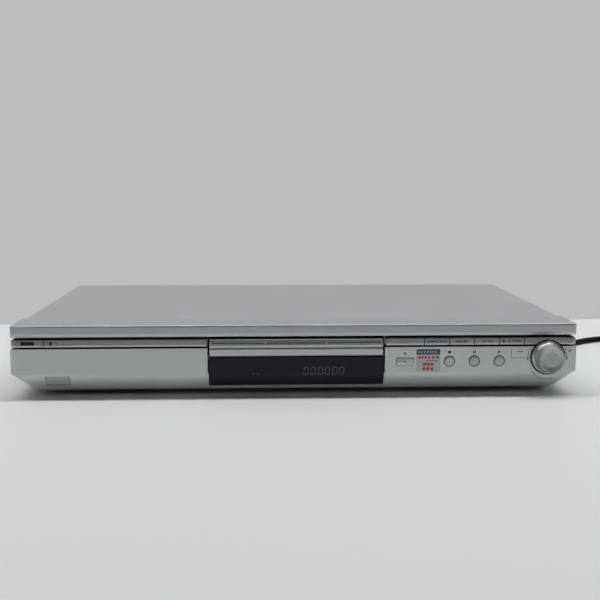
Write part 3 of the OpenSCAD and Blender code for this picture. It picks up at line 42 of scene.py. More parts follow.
# Values of the CAD source, in millimetres
FRONT = -124.75  # Y of the panel's face
REAR = 128.25  # Y of the rear panel's outer face
CREASE = 18.0  # height from which the panel turns under
BEVEL_R = 21.2733  # radius of that bevel
BEVEL_C = (20.8084, 22.4230)  # its centre: depth behind FRONT, height
STRIP_LEAN = 0.5  # how far the strip's face leans back
STRIP_Z, STRIP_RISE = 40.0, 3.3  # from which height, and over how much of it
ROW_Z = 26.3  # height of the row of buttons on the panel
PITCH = 19.2  # distance between two buttons
ROW_END = 174.4  # X of the place after the last round button
KNOB = (192.8, 28.9)  # X and Z of the knob's axis
TRAY_BUTTON_X = 82.6


def row_x(i):
    """X of a place in the row: 0 stop, 1 pause, 2 play, 3 the row's end."""
    return ROW_END - (3 - i) * PITCH


def bevel_depth(z, inset=0.0):
    """Depth of the panel's face at a height, moved in by an inset."""
    if z >= CREASE:
        return inset
    r = BEVEL_R - inset
    return BEVEL_C[0] - math.sqrt(r * r - (BEVEL_C[1] - z) ** 2)


def strip_depth(z):
    """Depth of the strip's leaning face at a height."""
    return STRIP_LEAN * max(0.0, min(1.0, (z - STRIP_Z) / STRIP_RISE))


# ---------- camera ----------

CAMERA_PLACE = (-0.02467, -0.81157, 0.16906)
CAMERA_TURN = {"Z": -0.0396, "X": -0.1375, "Y": -0.0011}  # pan, tilt and roll, in radians

cam_data = bpy.data.cameras.new("camera")
cam = bpy.data.objects.new("camera", cam_data)
scene.collection.objects.link(cam)
cam_data.sensor_width = 36
cam_data.lens = 55.36
cam_data.clip_start = 0.01
cam_data.clip_end = 20
turn = Matrix.Translation(CAMERA_PLACE)
for axis, angle in CAMERA_TURN.items():
    turn = turn @ Matrix.Rotation(angle, 4, axis)
cam.matrix_world = turn @ Matrix.Rotation(math.pi / 2, 4, "X")
scene.camera = cam
scene.view_settings.view_transform = "Standard"


# ---------- materials ----------

MIX_A, MIX_B, MIX_OUT = 6, 7, 2  # colour sockets of a Mix node
ROUGH_DRIFT = 0.06
BUMP_DEPTH = 0.0002
EDGE_SAMPLES = 4
DUST = (170, 168, 162)


def lin(c):
    c = c / 255
    return c / 12.92 if c <= 0.04045 else ((c + 0.055) / 1.055) ** 2.4


def colour(rgb, k=1.0):
    return tuple(min(1.0, lin(c) * k) for c in rgb) + (1.0,)


def new_material(name):
    m = bpy.data.materials.new(name)
    m.use_nodes = True
    m.node_tree.nodes.clear()
    out = m.node_tree.nodes.new("ShaderNodeOutputMaterial")
    return m, m.node_tree.nodes, m.node_tree.links, out


def add_noise(n, ln, where, scale, detail):
    """Noise texture at a place, with its value as the result."""
    noise = n.new("ShaderNodeTexNoise")
    noise.inputs["Scale"].default_value = scale
    noise.inputs["Detail"].default_value = detail
    ln.new(where, noise.inputs["Vector"])
    return noise.outputs[0]


def add_range(n, ln, value, from_range=(0.0, 1.0), to_range=(0.0, 1.0)):
    """Value moved from one range to another."""
    node = n.new("ShaderNodeMapRange")
    for label, pair in (("From", from_range), ("To", to_range)):
        node.inputs[label + " Min"].default_value = pair[0]
        node.inputs[label + " Max"].default_value = pair[1]
    ln.new(value, node.inputs["Value"])
    return node.outputs[0]


def add_mix(n, blend="MIX"):
    """Mix node for two colours."""
    node = n.new("ShaderNodeMix")
    node.data_type = "RGBA"
    node.blend_type = blend
    return node


def material(name, rgb, rough=0.5, metal=0.0, var=0.05, scale=60, grain=0.05, grain_scale=2500,
             streak=None, flakes=0.0, coat=0.0, coat_rough=0.15, spec=0.5, edge=0.0, dust=0.0,
             sheen=0.0):
    """Principled material with drifting colour, fine grain in the surface and varied roughness.

    The colour drifts by var at the coarse scale and by flakes at the grain's scale. Streak
    stretches the grain, edge rounds the shading of edges, and dust lies on what faces up.
    """
    m, n, ln, out = new_material(name)
    bsdf = n.new("ShaderNodeBsdfPrincipled")
    ln.new(bsdf.outputs[0], out.inputs[0])
    where = fine_where = n.new("ShaderNodeTexCoord").outputs["Object"]
    if streak:
        mapping = n.new("ShaderNodeMapping")
        mapping.inputs["Scale"].default_value = streak
        ln.new(where, mapping.inputs["Vector"])
        fine_where = mapping.outputs[0]
    big = add_noise(n, ln, where, scale, 4)
    fine = add_noise(n, ln, fine_where, grain_scale, 2)
    mix = add_mix(n)
    mix.inputs[MIX_A].default_value = colour(rgb, 1 - var)
    mix.inputs[MIX_B].default_value = colour(rgb, 1 + var)
    ln.new(add_range(n, ln, big, (0.35, 0.65)), mix.inputs[0])
    last = mix.outputs[MIX_OUT]
    if flakes:
        speck = add_mix(n, "MULTIPLY")
        speck.inputs[0].default_value = 1.0
        ln.new(last, speck.inputs[MIX_A])
        ln.new(add_range(n, ln, fine, (0.3, 0.7), (1 - flakes, 1 + flakes)), speck.inputs[MIX_B])
        last = speck.outputs[MIX_OUT]
    if dust:
        split = n.new("ShaderNodeSeparateXYZ")
        ln.new(n.new("ShaderNodeNewGeometry").outputs["Normal"], split.inputs[0])
        veil = add_mix(n)
        ln.new(add_range(n, ln, split.outputs[2], (0.4, 1.0), (0.0, dust)), veil.inputs[0])
        ln.new(last, veil.inputs[MIX_A])
        veil.inputs[MIX_B].default_value = colour(DUST)
        last = veil.outputs[MIX_OUT]
    ln.new(last, bsdf.inputs["Base Color"])
    gloss = (max(0.02, rough - ROUGH_DRIFT), min(1.0, rough + ROUGH_DRIFT))
    ln.new(add_range(n, ln, big, (0.0, 1.0), gloss), bsdf.inputs["Roughness"])
    bsdf.inputs["Metallic"].default_value = metal
    bsdf.inputs["Specular IOR Level"].default_value = spec
    bsdf.inputs["Coat Weight"].default_value = coat
    bsdf.inputs["Coat Roughness"].default_value = coat_rough
    bsdf.inputs["Sheen Weight"].default_value = sheen
    normal = None
    if edge:
        bevel = n.new("ShaderNodeBevel")
        bevel.samples = EDGE_SAMPLES
        bevel.inputs["Radius"].default_value = edge
        normal = bevel.outputs[0]
    if grain:
        bump = n.new("ShaderNodeBump")
        bump.inputs["Strength"].default_value = grain
        bump.inputs["Distance"].default_value = BUMP_DEPTH
        ln.new(fine, bump.inputs["Height"])
        if normal:
            ln.new(normal, bump.inputs["Normal"])
        normal = bump.outputs[0]
    if normal:
        ln.new(normal, bsdf.inputs["Normal"])
    return m


M = {
    "panel": material("silver_paint", (221, 223, 224), rough=0.42, metal=0.3, var=0.02, scale=25,
                      grain=0.02, grain_scale=4200, flakes=0.03, edge=0.0002),
    "cap": material("silver_cap_paint", (186, 188, 191), rough=0.34, metal=0.88, var=0.02, scale=25,
                    grain=0.02, grain_scale=4200, flakes=0.03, edge=0.0007),
    "trim": material("bright_trim_paint", (198, 200, 203), rough=0.3, metal=0.7, var=0.02, scale=30,
                     grain=0.0, edge=0.0004),
    "knob": material("knob_paint", (184, 186, 188), rough=0.42, metal=0.8, var=0.03, scale=160,
                     grain=0.05, grain_scale=900, streak=(1, 0.1, 1), edge=0.00015),
    "button": material("button_paint", (190, 192, 193), rough=0.36, metal=0.6, var=0.02, scale=200,
                       grain=0.0),
    "cover": material("cover_paint", (176, 177, 180), rough=0.44, metal=0.75, var=0.03, scale=18,
                      grain=0.05, grain_scale=3000, flakes=0.04, dust=0.08, edge=0.0004),
    "zinc": material("zinc_sheet", (176, 178, 180), rough=0.38, metal=0.85, var=0.10, scale=70,
                     grain=0.05, grain_scale=900, streak=(1, 6, 1), edge=0.0003),
    "window": material("tinted_window", (50, 48, 58), rough=0.20, var=0.03, scale=30, grain=0.01,
                       spec=0.06),
    # Painted shade: near-black for the sheets that darken the grooves and gaps
    "painted_shade": material("groove_shade_paint", (12, 12, 14), rough=0.7, var=0.1, scale=200, grain=0.05,
                       spec=0.1),
    "sensor": material("sensor_window", (196, 198, 200), rough=0.25, metal=0.15, var=0.03, scale=90,
                       grain=0.03, coat=0.3),
    "loader": material("loader_plastic", (62, 64, 67), rough=0.55, var=0.06, scale=60, grain=0.10,
                       grain_scale=3500, edge=0.0003),
    "traverse": material("mechanism_plastic", (44, 45, 48), rough=0.5, var=0.06, scale=60,
                         grain=0.10, grain_scale=3500, edge=0.0003),
    "foot": material("foot_plastic", (46, 47, 49), rough=0.6, var=0.06, scale=100, grain=0.12,
                     grain_scale=3500, edge=0.0003),
    "tray": material("tray_plastic", (38, 39, 42), rough=0.48, var=0.05, scale=50, grain=0.10,
                     grain_scale=3800, edge=0.0003),
    "black": material("black_plastic", (26, 26, 28), rough=0.42, var=0.08, scale=80, grain=0.08,
                      grain_scale=3500, edge=0.0002),
    "rubber": material("rubber", (24, 24, 25), rough=0.75, var=0.08, scale=120, grain=0.10,
                       grain_scale=3000, sheen=0.1),
    "white": material("acetal", (222, 219, 208), rough=0.35, var=0.04, scale=80, grain=0.05,
                      grain_scale=3000, edge=0.0002),
    "cable": material("flat_cable", (214, 214, 208), rough=0.4, var=0.05, scale=50, grain=0.30,
                      grain_scale=700, streak=(1, 0.02, 0.02)),
    "steel": material("ground_steel", (178, 179, 181), rough=0.24, metal=1.0, var=0.05, scale=200,
                      grain=0.05, grain_scale=5000),
    "screw": material("plated_screw", (152, 153, 155), rough=0.30, metal=1.0, var=0.08, scale=300,
                      grain=0.06, grain_scale=3000, edge=0.0001),
    "motor": material("motor_can", (170, 171, 172), rough=0.32, metal=0.9, var=0.06, scale=120,
                      grain=0.04, grain_scale=2500, edge=0.0003),
    "board": material("green_laminate", (26, 84, 50), rough=0.35, var=0.20, scale=260, grain=0.08,
                      grain_scale=1500, coat=0.5, coat_rough=0.2),
    "brown_board": material("brown_laminate", (150, 108, 62), rough=0.45, var=0.12, scale=150,
                            grain=0.10, grain_scale=1800),
    "chip": material("component_black", (30, 31, 33), rough=0.4, var=0.10, scale=300, grain=0.10,
                     grain_scale=4000, edge=0.0002),
    "sleeve": material("capacitor_sleeve", (34, 40, 74), rough=0.28, var=0.08, scale=200,
                       grain=0.05, grain_scale=2500, coat=0.4, edge=0.0004),
    "core": material("transformer_core", (78, 66, 40), rough=0.45, var=0.15, scale=150, grain=0.15,
                     grain_scale=1500, edge=0.0003),
    "alu": material("extruded_aluminium", (186, 187, 188), rough=0.34, metal=0.95, var=0.05,
                    scale=90, grain=0.10, grain_scale=1600, streak=(1, 1, 0.03), edge=0.0002),
    "nickel": material("nickel_sleeve", (190, 188, 182), rough=0.16, metal=1.0, var=0.05, scale=300,
                       grain=0.02, grain_scale=3000, edge=0.0002),
    "tube": material("display_glass", (52, 58, 58), rough=0.10, var=0.05, scale=60, grain=0.0,
                     coat=0.6, coat_rough=0.03),
    "lens": material("coated_lens", (94, 108, 168), rough=0.06, var=0.08, scale=600, grain=0.0,
                     coat=1.0, coat_rough=0.02, spec=0.8),
    "lead": material("lead_rubber", (7, 7, 9), rough=0.38, var=0.06, scale=90, grain=0.06,
                     grain_scale=3000, spec=0.18),
    "ink": material("dark_ink", (14, 14, 17), rough=0.55, var=0.05, scale=400, grain=0.03),
    "grey_ink": material("grey_ink", (66, 68, 72), rough=0.5, var=0.05, scale=400, grain=0.03),
    "pale_ink": material("pale_ink", (170, 172, 174), rough=0.5, var=0.05, scale=400, grain=0.03),
    "glyph": material("unlit_segments", (112, 110, 120), rough=0.4, var=0.06, scale=400,
                      grain=0.02),
    "sticker": material("sticker_film", (190, 192, 192), rough=0.34, metal=0.3, var=0.03, scale=80,
                        grain=0.03, coat=0.5),
    "sticker_blue": material("sticker_blue", (40, 84, 112), rough=0.35, var=0.08, scale=200,
                             grain=0.02),
    "sticker_red": material("sticker_red", (206, 62, 34), rough=0.35, var=0.06, scale=200,
                            grain=0.02),
}
JACKS = {"jack_yellow": (214, 180, 40), "jack_white": (220, 220, 216), "jack_red": (182, 40, 36)}
for name, rgb in JACKS.items():
    M[name] = material(name, rgb, rough=0.35, scale=200)

# Key of the material for each node of the CAD source
NODE_MATERIALS = {
    "panel": ["front_panel", "tray_button"], "cap": ["top_cap"], "cover": ["top_cover"],
    "trim": ["trim_strips", "tray_door", "power_button", "replay_button", "skip_back_button",
             "skip_forward_button", "zoom_button"],
    "button": ["stop_button", "pause_button", "play_button"], "knob": ["jog_knob"],
    "zinc": ["chassis_base", "rear_panel", "clamp_bridge"],
    "window": ["display_window"], "sensor": ["sensor_window"], "foot": ["feet"],
    "loader": ["loader_frame"], "traverse": ["traverse_frame"], "tray": ["disc_tray"],
    "black": ["clamper", "turntable", "pickup_sled", "tact_switches", "jack_block",
              "signal_sockets", "mains_inlet"],
    "white": ["motor_pulley", "pulley_gear", "drive_gear", "cam_slider"], "cable": ["flat_cables"],
    "screw": ["case_screws"], "steel": ["guide_rods", "lead_screw"],
    "motor": ["loading_motor", "spindle_motor", "sled_motor", "encoder_body"],
    "board": ["main_board", "front_boards"], "brown_board": ["power_board"],
    "chip": ["board_components"], "sleeve": ["power_capacitors"], "core": ["power_transformer"],
    "alu": ["heat_sink"], "nickel": ["jack_sleeves"], "tube": ["display_tube"],
    "lens": ["pickup_lens"], "rubber": ["drive_belt"],
    "lead": ["mains_lead", "mains_coil", "mains_plug", "lead_connector"],
}
for key, names in NODE_MATERIALS.items():
    for name in names:
        slots = nodes[name].data.materials
        if not slots:
            slots.append(M[key])
        for i in range(len(slots)):
            slots[i] = M[key]


# ---------- mains lead ----------

LEAD_D = 5.4
ROUTE = [
    (170, 170, 18), (170, 182, 17.6), (172, 194, 16), (177, 205, 13), (186, 213, 9.6),
    (197, 218, 6.3), (209, 219, 3.9), (221, 216, 2.9), (231, 209, 2.7), (238, 199, 2.7),
    (242, 187, 2.7), (244, 175, 2.7), (245, 162, 2.7), (245, 149, 2.7), (245, 136, 2.7),
    (245, 123, 2.7), (245, 109, 2.7), (245, 96, 2.7), (248, 84, 2.7), (257, 75, 2.7),
    (269, 71, 2.7), (281, 74, 2.7), (292, 82, 2.7), (303, 89, 2.7), (315, 94, 2.7),
    (330, 98, 2.7),
]
TO_PLUG = [(394.4, 59, 7.9), (394.4, 53, 7.3), (394.4, 48, 6.9)]
COIL = (356.0, 65.0)
COIL_IN, COIL_OUT, TURNS = 21.6, 38.4, 6.294
COIL_START = 106  # degrees
STEPS_PER_TURN = 24
CLIMB_EARLY, CLIMB_SPAN = 0.15, 0.37  # turns before the first layer is full, and turns it takes


def coil_point(t):
    """Point of the coil after t turns: inwards on the table, then outwards on top of it."""
    r = max(COIL_OUT - LEAD_D * min(t, TURNS - t), COIL_IN)
    full = (COIL_OUT - COIL_IN) / LEAD_D
    s = min(1.0, max(0.0, (t - full + CLIMB_EARLY) / CLIMB_SPAN))
    a = math.radians(COIL_START) - 2 * math.pi * t
    return (COIL[0] + r * math.cos(a), COIL[1] + r * math.sin(a),
            LEAD_D / 2 + LEAD_D * s * s * (3 - 2 * s))


steps = int(TURNS * STEPS_PER_TURN)
points = ROUTE + [coil_point(TURNS * i / steps) for i in range(steps + 1)] + TO_PLUG
curve = bpy.data.curves.new("mains_cord", "CURVE")
curve.dimensions = "3D"
curve.bevel_depth = LEAD_D / 2000
curve.bevel_resolution = 6
curve.resolution_u = 4
curve.use_fill_caps = True
spline = curve.splines.new("BEZIER")
spline.bezier_points.add(len(points) - 1)
for p, bp in zip(points, spline.bezier_points):
    bp.co = Vector(p) / 1000
    bp.handle_left_type = bp.handle_right_type = "AUTO"
cord = bpy.data.objects.new("mains_cord", curve)
scene.collection.objects.link(cord)
cord.data.materials.append(M["lead"])
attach(cord, "cabinet")
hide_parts("mains_lead", "mains_coil")


# ---------- shapes built in the scene ----------

def add_object(name, mesh, mat, body):
    """Object of a mesh in one material, riding on a body."""
    mesh.materials.append(mat)
    obj = bpy.data.objects.new(name, mesh)
    scene.collection.objects.link(obj)
    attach(obj, body)
    return obj


def mesh_object(name, verts, faces, mat, body):
    """Object from points in millimetres, riding on a body."""
    mesh = bpy.data.meshes.new(name)
    mesh.from_pydata([Vector(v) / 1000 for v in verts], [], faces)
    mesh.validate()
    return add_object(name, mesh, mat, body)


def extruded(name, outlines, mat, body, depth=None, proud=0.04, sunk=0.02, cuts=()):
    """Flat print on the front face: closed outlines in (X, Z), each a thin solid that follows the
    face, with extra edges at the heights where the face bends."""
    bm = bmesh.new()
    for outline in outlines:
        bm.faces.new([bm.verts.new((x, 0, z)) for x, z in outline])
    for z in cuts:
        bmesh.ops.bisect_plane(bm, geom=bm.verts[:] + bm.edges[:] + bm.faces[:],
                               plane_co=(0, 0, z), plane_no=(0, 0, 1), dist=1e-5)
    bmesh.ops.recalc_face_normals(bm, faces=bm.faces[:])
    made = bmesh.ops.extrude_face_region(bm, geom=bm.faces[:])
    back = {v for v in made["geom"] if isinstance(v, bmesh.types.BMVert)}
    for v in bm.verts:
        y = depth(v.co.z) if depth else 0.0
        v.co.y = FRONT + y + (sunk if v in back else -proud)
    bmesh.ops.recalc_face_normals(bm, faces=bm.faces[:])
    for v in bm.verts:
        v.co /= 1000
    mesh = bpy.data.meshes.new(name)
    bm.to_mesh(mesh)
    bm.free()
    return add_object(name, mesh, mat, body)


def sleeve_faces(n):
    """Faces of a closed sleeve whose vertices are four loops of n: two at its near end, and the
    same two at its far end."""
    faces = []
    for i in range(n):
        j = (i + 1) % n
        faces += [[i, j, n + j, n + i], [2 * n + j, 2 * n + i, 3 * n + i, 3 * n + j],
                  [j, i, 2 * n + i, 2 * n + j], [n + i, n + j, 3 * n + j, 3 * n + i]]
    return faces


def tube(name, outer, inner, y0, y1, mat, slot=None):
    """Closed sleeve along Y between two outlines with as many points."""
    verts = [(x, y, z) for y in (y0, y1) for loop in (inner, outer) for x, z in loop]
    return mesh_object(name, verts, sleeve_faces(len(outer)), mat, "cabinet")


def rect(x0, x1, z0, z1):
    return [(x0, z0), (x1, z0), (x1, z1), (x0, z1)]


def disc(x, z, r, n=24):
    return [(x + r * math.cos(2 * math.pi * i / n), z + r * math.sin(2 * math.pi * i / n))
            for i in range(n)]


def stroke(path, w):
    """Outline of a line of constant width along a path, with square ends."""
    left, right = [], []
    for i, p in enumerate(path):
        a = Vector(path[max(0, i - 1)])
        b = Vector(path[min(len(path) - 1, i + 1)])
        t = (b - a).normalized()
        q = Vector((-t.y, t.x)) * w / 2
        if 0 < i < len(path) - 1:
            t0 = (Vector(p) - a).normalized()
            q = q / max(0.5, Vector((-t0.y, t0.x)).dot(Vector((-t.y, t.x))))
        left.append(tuple(Vector(p) + q))
        right.append(tuple(Vector(p) - q))
    return left + right[::-1]


def arc(x, z, r, a0, a1, n=16):
    """Points on a circle from one angle to another, in degrees."""
    angles = [math.radians(a0 + (a1 - a0) * i / n) for i in range(n + 1)]
    return [(x + r * math.cos(a), z + r * math.sin(a)) for a in angles]


def rounded(x0, x1, z0, z1, r, n=6):
    """Rectangle with round corners."""
    pts = []
    for cx, cz, a in ((x1 - r, z1 - r, 0), (x0 + r, z1 - r, 90),
                      (x0 + r, z0 + r, 180), (x1 - r, z0 + r, 270)):
        pts += arc(cx, cz, r, a, a + 90, n)
    return pts


def triangle(x, z, w, h, direction):
    """Filled triangle that points left, right, up or down."""
    dx, dz = {"right": (1, 0), "left": (-1, 0), "up": (0, 1), "down": (0, -1)}[direction]
    if dx:
        return [(x - dx * w / 2, z - h / 2), (x + dx * w / 2, z), (x - dx * w / 2, z + h / 2)]
    return [(x - w / 2, z - dz * h / 2), (x + w / 2, z - dz * h / 2), (x, z + dz * h / 2)]


def ticks(x0, x1, z0, z1, w=0.75, gap=0.45):
    """Row of upright bars over a width."""
    n = int((x1 - x0 + gap) / (w + gap))
    step = (x1 - x0 - w) / max(1, n - 1)
    return [rect(x0 + i * step, x0 + i * step + w, z0, z1) for i in range(n)]


# ---------- prints on the panel ----------

# Symbols over the round buttons and over the tray's button
SYMBOL_Z = 33.3
stop_x, pause_x, play_x = (row_x(i) for i in range(3))
extruded("play_symbols", [
    rect(stop_x - 1.0, stop_x + 1.0, SYMBOL_Z - 1.0, SYMBOL_Z + 1.0),
    rect(pause_x - 1.05, pause_x - 0.25, SYMBOL_Z - 1.0, SYMBOL_Z + 1.0),
    rect(pause_x + 0.25, pause_x + 1.05, SYMBOL_Z - 1.0, SYMBOL_Z + 1.0),
    triangle(play_x + 0.1, SYMBOL_Z, 2.1, 2.2, "right"),
], M["ink"], "cabinet")
extruded("open_symbol", [
    triangle(TRAY_BUTTON_X, 33.0, 2.6, 1.6, "up"),
    rect(TRAY_BUTTON_X - 1.3, TRAY_BUTTON_X + 1.3, 31.4, 31.8),
], M["grey_ink"], "cabinet")
extruded("tray_button_mark", [triangle(TRAY_BUTTON_X, ROW_Z + 0.1, 1.9, 1.3, "up")],
         M["ink"], "tray_button", depth=lambda z: -1.0, sunk=0.3)

# Marks round the knob; the collar line after them is a painted shadow
DISH_DEPTH, DISH_RISE, DISH_R, DISH_W = -10.75, 0.75, 5.94, 3.26
kx, kz = KNOB
extruded("knob_marks", [
    rect(164.2, 164.55, 28.4, 35.4), rect(164.55, 175.1, 28.4, 28.75),
    rect(169.4, 173.4, 33.0, 33.6),
    rect(208.5, 210.9, 33.6, 34.1), rect(209.45, 209.95, 32.6, 33.6),
    rect(209.45, 209.95, 34.1, 35.1),
], M["grey_ink"], "cabinet")
extruded("knob_arcs", [
    stroke(arc(kx, kz, 15.5, 150, 182), 0.34), triangle(kx - 15.5, kz - 1.4, 1.4, 2.1, "down"),
    stroke(arc(kx, kz, 14.7, 30, -2), 0.34), triangle(kx + 14.7, kz - 1.4, 1.4, 2.1, "down"),
], M["ink"], "cabinet")
# Painted shadow: a dark ink line along the collar's lower edge, where the collar stands out from
# the bevel
extruded("collar_shadow_line", [stroke(arc(kx, kz, 16.62, 223, 287, 24), 0.3)], M["ink"], "cabinet")


def knob_face_depth(z):
    """Depth of the knob's dished face straight above its axis: it comes forward by DISH_RISE over
    DISH_W from the radius DISH_R."""
    return DISH_DEPTH - DISH_RISE * (z - kz - DISH_R) / DISH_W


extruded("knob_dot", [disc(kx, kz + 7.45, 0.5, 16)], M["ink"], "jog_knob", depth=knob_face_depth)

# Seam round the sensor's window, on the bevel
SEAM_W = 0.4
SEAM_H = 0.35
sx0, sx1, sz0, sz1 = -189.1, -171.5, 9.4, 15.9
extruded("sensor_seam", [
    rect(sx0 - SEAM_W, sx1 + SEAM_W, sz1, sz1 + SEAM_H),
    rect(sx0 - SEAM_W, sx1 + SEAM_W, sz0 - SEAM_H, sz0),
    rect(sx0 - SEAM_W, sx0, sz0, sz1), rect(sx1, sx1 + SEAM_W, sz0, sz1),
], M["grey_ink"], "cabinet", depth=bevel_depth, cuts=[sz0 + 0.5 * k for k in range(1, 13)])


# ---------- prints on the strip and the tray's door ----------

MARK_Z = 41.6
LOW, HIGH = MARK_Z - 0.75, MARK_Z + 0.75


def strip_print(name, outlines, body, mat="ink", proud=0.04):
    return extruded(name, outlines, M[mat], body, depth=strip_depth, proud=proud)


def arrows(centres, direction):
    return [triangle(x, MARK_Z, 1.6, 1.5, direction) for x in centres]


replay_x, back_x, forward_x, zoom_x = (row_x(i) - PITCH / 2 for i in range(4))
strip_print("replay_mark", [
    stroke(arc(replay_x, MARK_Z, 1.0, 60, 330), 0.42),
    triangle(replay_x + 0.65, MARK_Z + 0.95, 1.1, 1.1, "left"),
    *ticks(replay_x - 7.6, replay_x - 2.0, LOW, HIGH),
    *ticks(replay_x + 2.2, replay_x + 7.6, LOW, HIGH),
], "replay_button")
strip_print("skip_back_mark", [
    rect(back_x - 4.5, back_x - 4.0, LOW, HIGH), *arrows((back_x - 3.2, back_x - 1.7), "left"),
    stroke([(back_x - 0.6, MARK_Z - 0.8), (back_x + 0.2, MARK_Z + 0.8)], 0.3),
    *arrows((back_x + 1.5, back_x + 3.0), "left"),
], "skip_back_button")
strip_print("skip_forward_mark", [
    *arrows((forward_x - 3.0, forward_x - 1.5), "right"),
    stroke([(forward_x - 0.4, MARK_Z - 0.8), (forward_x + 0.4, MARK_Z + 0.8)], 0.3),
    *arrows((forward_x + 1.7, forward_x + 3.2), "right"),
    rect(forward_x + 4.0, forward_x + 4.5, LOW, HIGH),
], "skip_forward_button")
strip_print("zoom_mark", [
    disc(158.3, MARK_Z, 0.95),
    stroke(arc(zoom_x - 2.2, MARK_Z + 0.15, 0.8, 0, 350), 0.36),
    stroke([(zoom_x - 1.6, MARK_Z - 0.4), (zoom_x - 0.8, MARK_Z - 1.1)], 0.42),
    *ticks(zoom_x + 0.4, zoom_x + 7.4, MARK_Z - 0.7, MARK_Z + 0.7),
], "zoom_button")

# Power button: dark field with a symbol, and plain marks and a lamp beside it
strip_print("power_field", [rect(-206.9, -196.7, 40.3, 43.0)], "power_button")
strip_print("power_symbol", [
    stroke(arc(-201.8, MARK_Z, 0.7, 120, 420), 0.22), rect(-201.92, -201.68, 41.7, 42.5),
], "power_button", "grey_ink", 0.07)
strip_print("power_marks", [
    stroke(arc(-194.3, MARK_Z, 0.75, 0, 350), 0.26), rect(-191.9, -191.6, 40.8, 42.4),
], "power_button", "grey_ink")
strip_print("lamp", [rect(-185.4, -183.4, 40.3, 42.7)], "cabinet", "ink", 0.12)
strip_print("standby_mark", [
    stroke(arc(-179.9, 41.2, 0.85, 130, 410), 0.34), rect(-180.08, -179.74, 41.3, 42.5),
], "cabinet")


DOOR_Z, DOOR_RISE = 39.1, 3.0


def door_depth(z):
    """Depth of the door's leaning face at a height."""
    return STRIP_LEAN * min(1.0, (z - DOOR_Z) / DOOR_RISE)


# Line across the tray's door, with a row of bars in the middle
extruded("door_lines", [
    rect(-64.6, -24.5, 40.75, 41.4), rect(23.5, 64.6, 40.75, 41.4),
    *ticks(-22.2, 21.2, 40.4, 41.8, 1.1, 0.75),
], M["ink"], "tray", depth=door_depth)


# ---------- sticker ----------

BASE_PROUD, FIELD_PROUD, BAR_PROUD = 0.10, 0.13, 0.16
HEAD_Z = 31.6  # lower edge of the blue field
extruded("sticker", [rounded(91.3, 109.8, 18.1, 35.9, 1.1)], M["sticker"], "cabinet",
         proud=BASE_PROUD)
head = [p for p in rounded(91.5, 109.6, 26.0, 35.7, 1.0) if p[1] >= HEAD_Z]
extruded("sticker_head", [[(91.5, HEAD_Z), (109.6, HEAD_Z)] + head], M["sticker_blue"], "cabinet",
         proud=FIELD_PROUD)
extruded("sticker_bars", [rect(92.9 + i * 2.15, 94.2 + i * 2.15, 32.7, 34.4) for i in range(7)],
         M["pale_ink"], "cabinet", proud=BAR_PROUD)
extruded("sticker_red_bars", [
    *ticks(92.8, 101.8, 28.4, 30.4, 1.7, 0.5), *ticks(103.4, 108.4, 28.4, 30.4, 1.9, 0.5),
    *ticks(96.6, 104.6, 22.9, 25.1, 2.2, 0.5), *ticks(96.2, 104.4, 19.4, 21.6, 2.2, 0.5),
], M["sticker_red"], "cabinet", proud=FIELD_PROUD)
extruded("sticker_blue_row", [rect(98.8 + i * 1.9, 100.2 + i * 1.9, 26.3, 27.2) for i in range(5)],
         M["sticker_blue"], "cabinet", proud=FIELD_PROUD)


# ---------- display ----------

DIGIT_W, DIGIT_H, DIGIT_LINE, DIGIT_LEAN, DIGIT_GAP = 3.3, 5.4, 0.42, 0.10, 0.18
DIGIT_X, DIGIT_Z, DIGIT_PITCH, PAIR_GAP = 5.4, 16.6, 5.2, 0.5
DIGIT_COUNT = 6
WINDOW_INSET = 0.2


def zero(x, z):
    """The six outer segments of one number, leaning to the right."""
    w, h, g = DIGIT_W, DIGIT_H, DIGIT_GAP
    half = h / 2
    lines = [
        ((g, h), (w - g, h)), ((w, half + g), (w, h - g)), ((w, g), (w, half - g)),
        ((g, 0), (w - g, 0)), ((0, g), (0, half - g)), ((0, half + g), (0, h - g)),
    ]
    return [stroke([(x + dx + dz * DIGIT_LEAN, z + dz) for dx, dz in line], DIGIT_LINE)
            for line in lines]


def window_depth(z):
    """Depth of the window's face, which is set back a little in the panel."""
    return bevel_depth(z, WINDOW_INSET)


WINDOW_PRINT = {"depth": window_depth, "proud": 0.03, "sunk": 0.05,
                "cuts": (16.4, 16.8, 17.2, 17.6, 18.0)}
glyphs = []
for i in range(DIGIT_COUNT):
    glyphs += zero(DIGIT_X + i * DIGIT_PITCH + i // 2 * PAIR_GAP, DIGIT_Z)
extruded("display_digits", glyphs, M["glyph"], "cabinet", **WINDOW_PRINT)
extruded("display_dots", [disc(x, 17.5, 0.42, 12) for x in (-32.7, -29.3)], M["glyph"], "cabinet",
         **WINDOW_PRINT)


# ---------- rear sockets ----------

JACK_X, JACK_Z, JACK_STEP = -102, 18.8, 14
for i, key in enumerate(JACKS):
    for j in (0, 1):
        x, z = JACK_X + (i - 1) * JACK_STEP, JACK_Z + JACK_STEP * j
        tube(f"jack_ring_{i}{j}", disc(x, z, 2.88, 32), disc(x, z, 1.62, 32),
             REAR + 6.4, REAR + 6.75, M[key])


# ---------- painted shade: dark sheets in the grooves and gaps ---

def plates(name, profile, spans, mat, slot=None):
    """Thin solids with one (depth, Z) profile, extruded along X over each span."""
    verts, faces = [], []
    n = len(profile)
    for x0, x1 in spans:
        k = len(verts)
        verts += [(x, FRONT + d, z) for x in (x0, x1) for d, z in profile]
        faces += [list(range(k, k + n))[::-1], list(range(k + n, k + 2 * n))]
        faces += [[k + i, k + (i + 1) % n, k + n + (i + 1) % n, k + n + i] for i in range(n)]
    return mesh_object(name, verts, faces, mat, "cabinet")
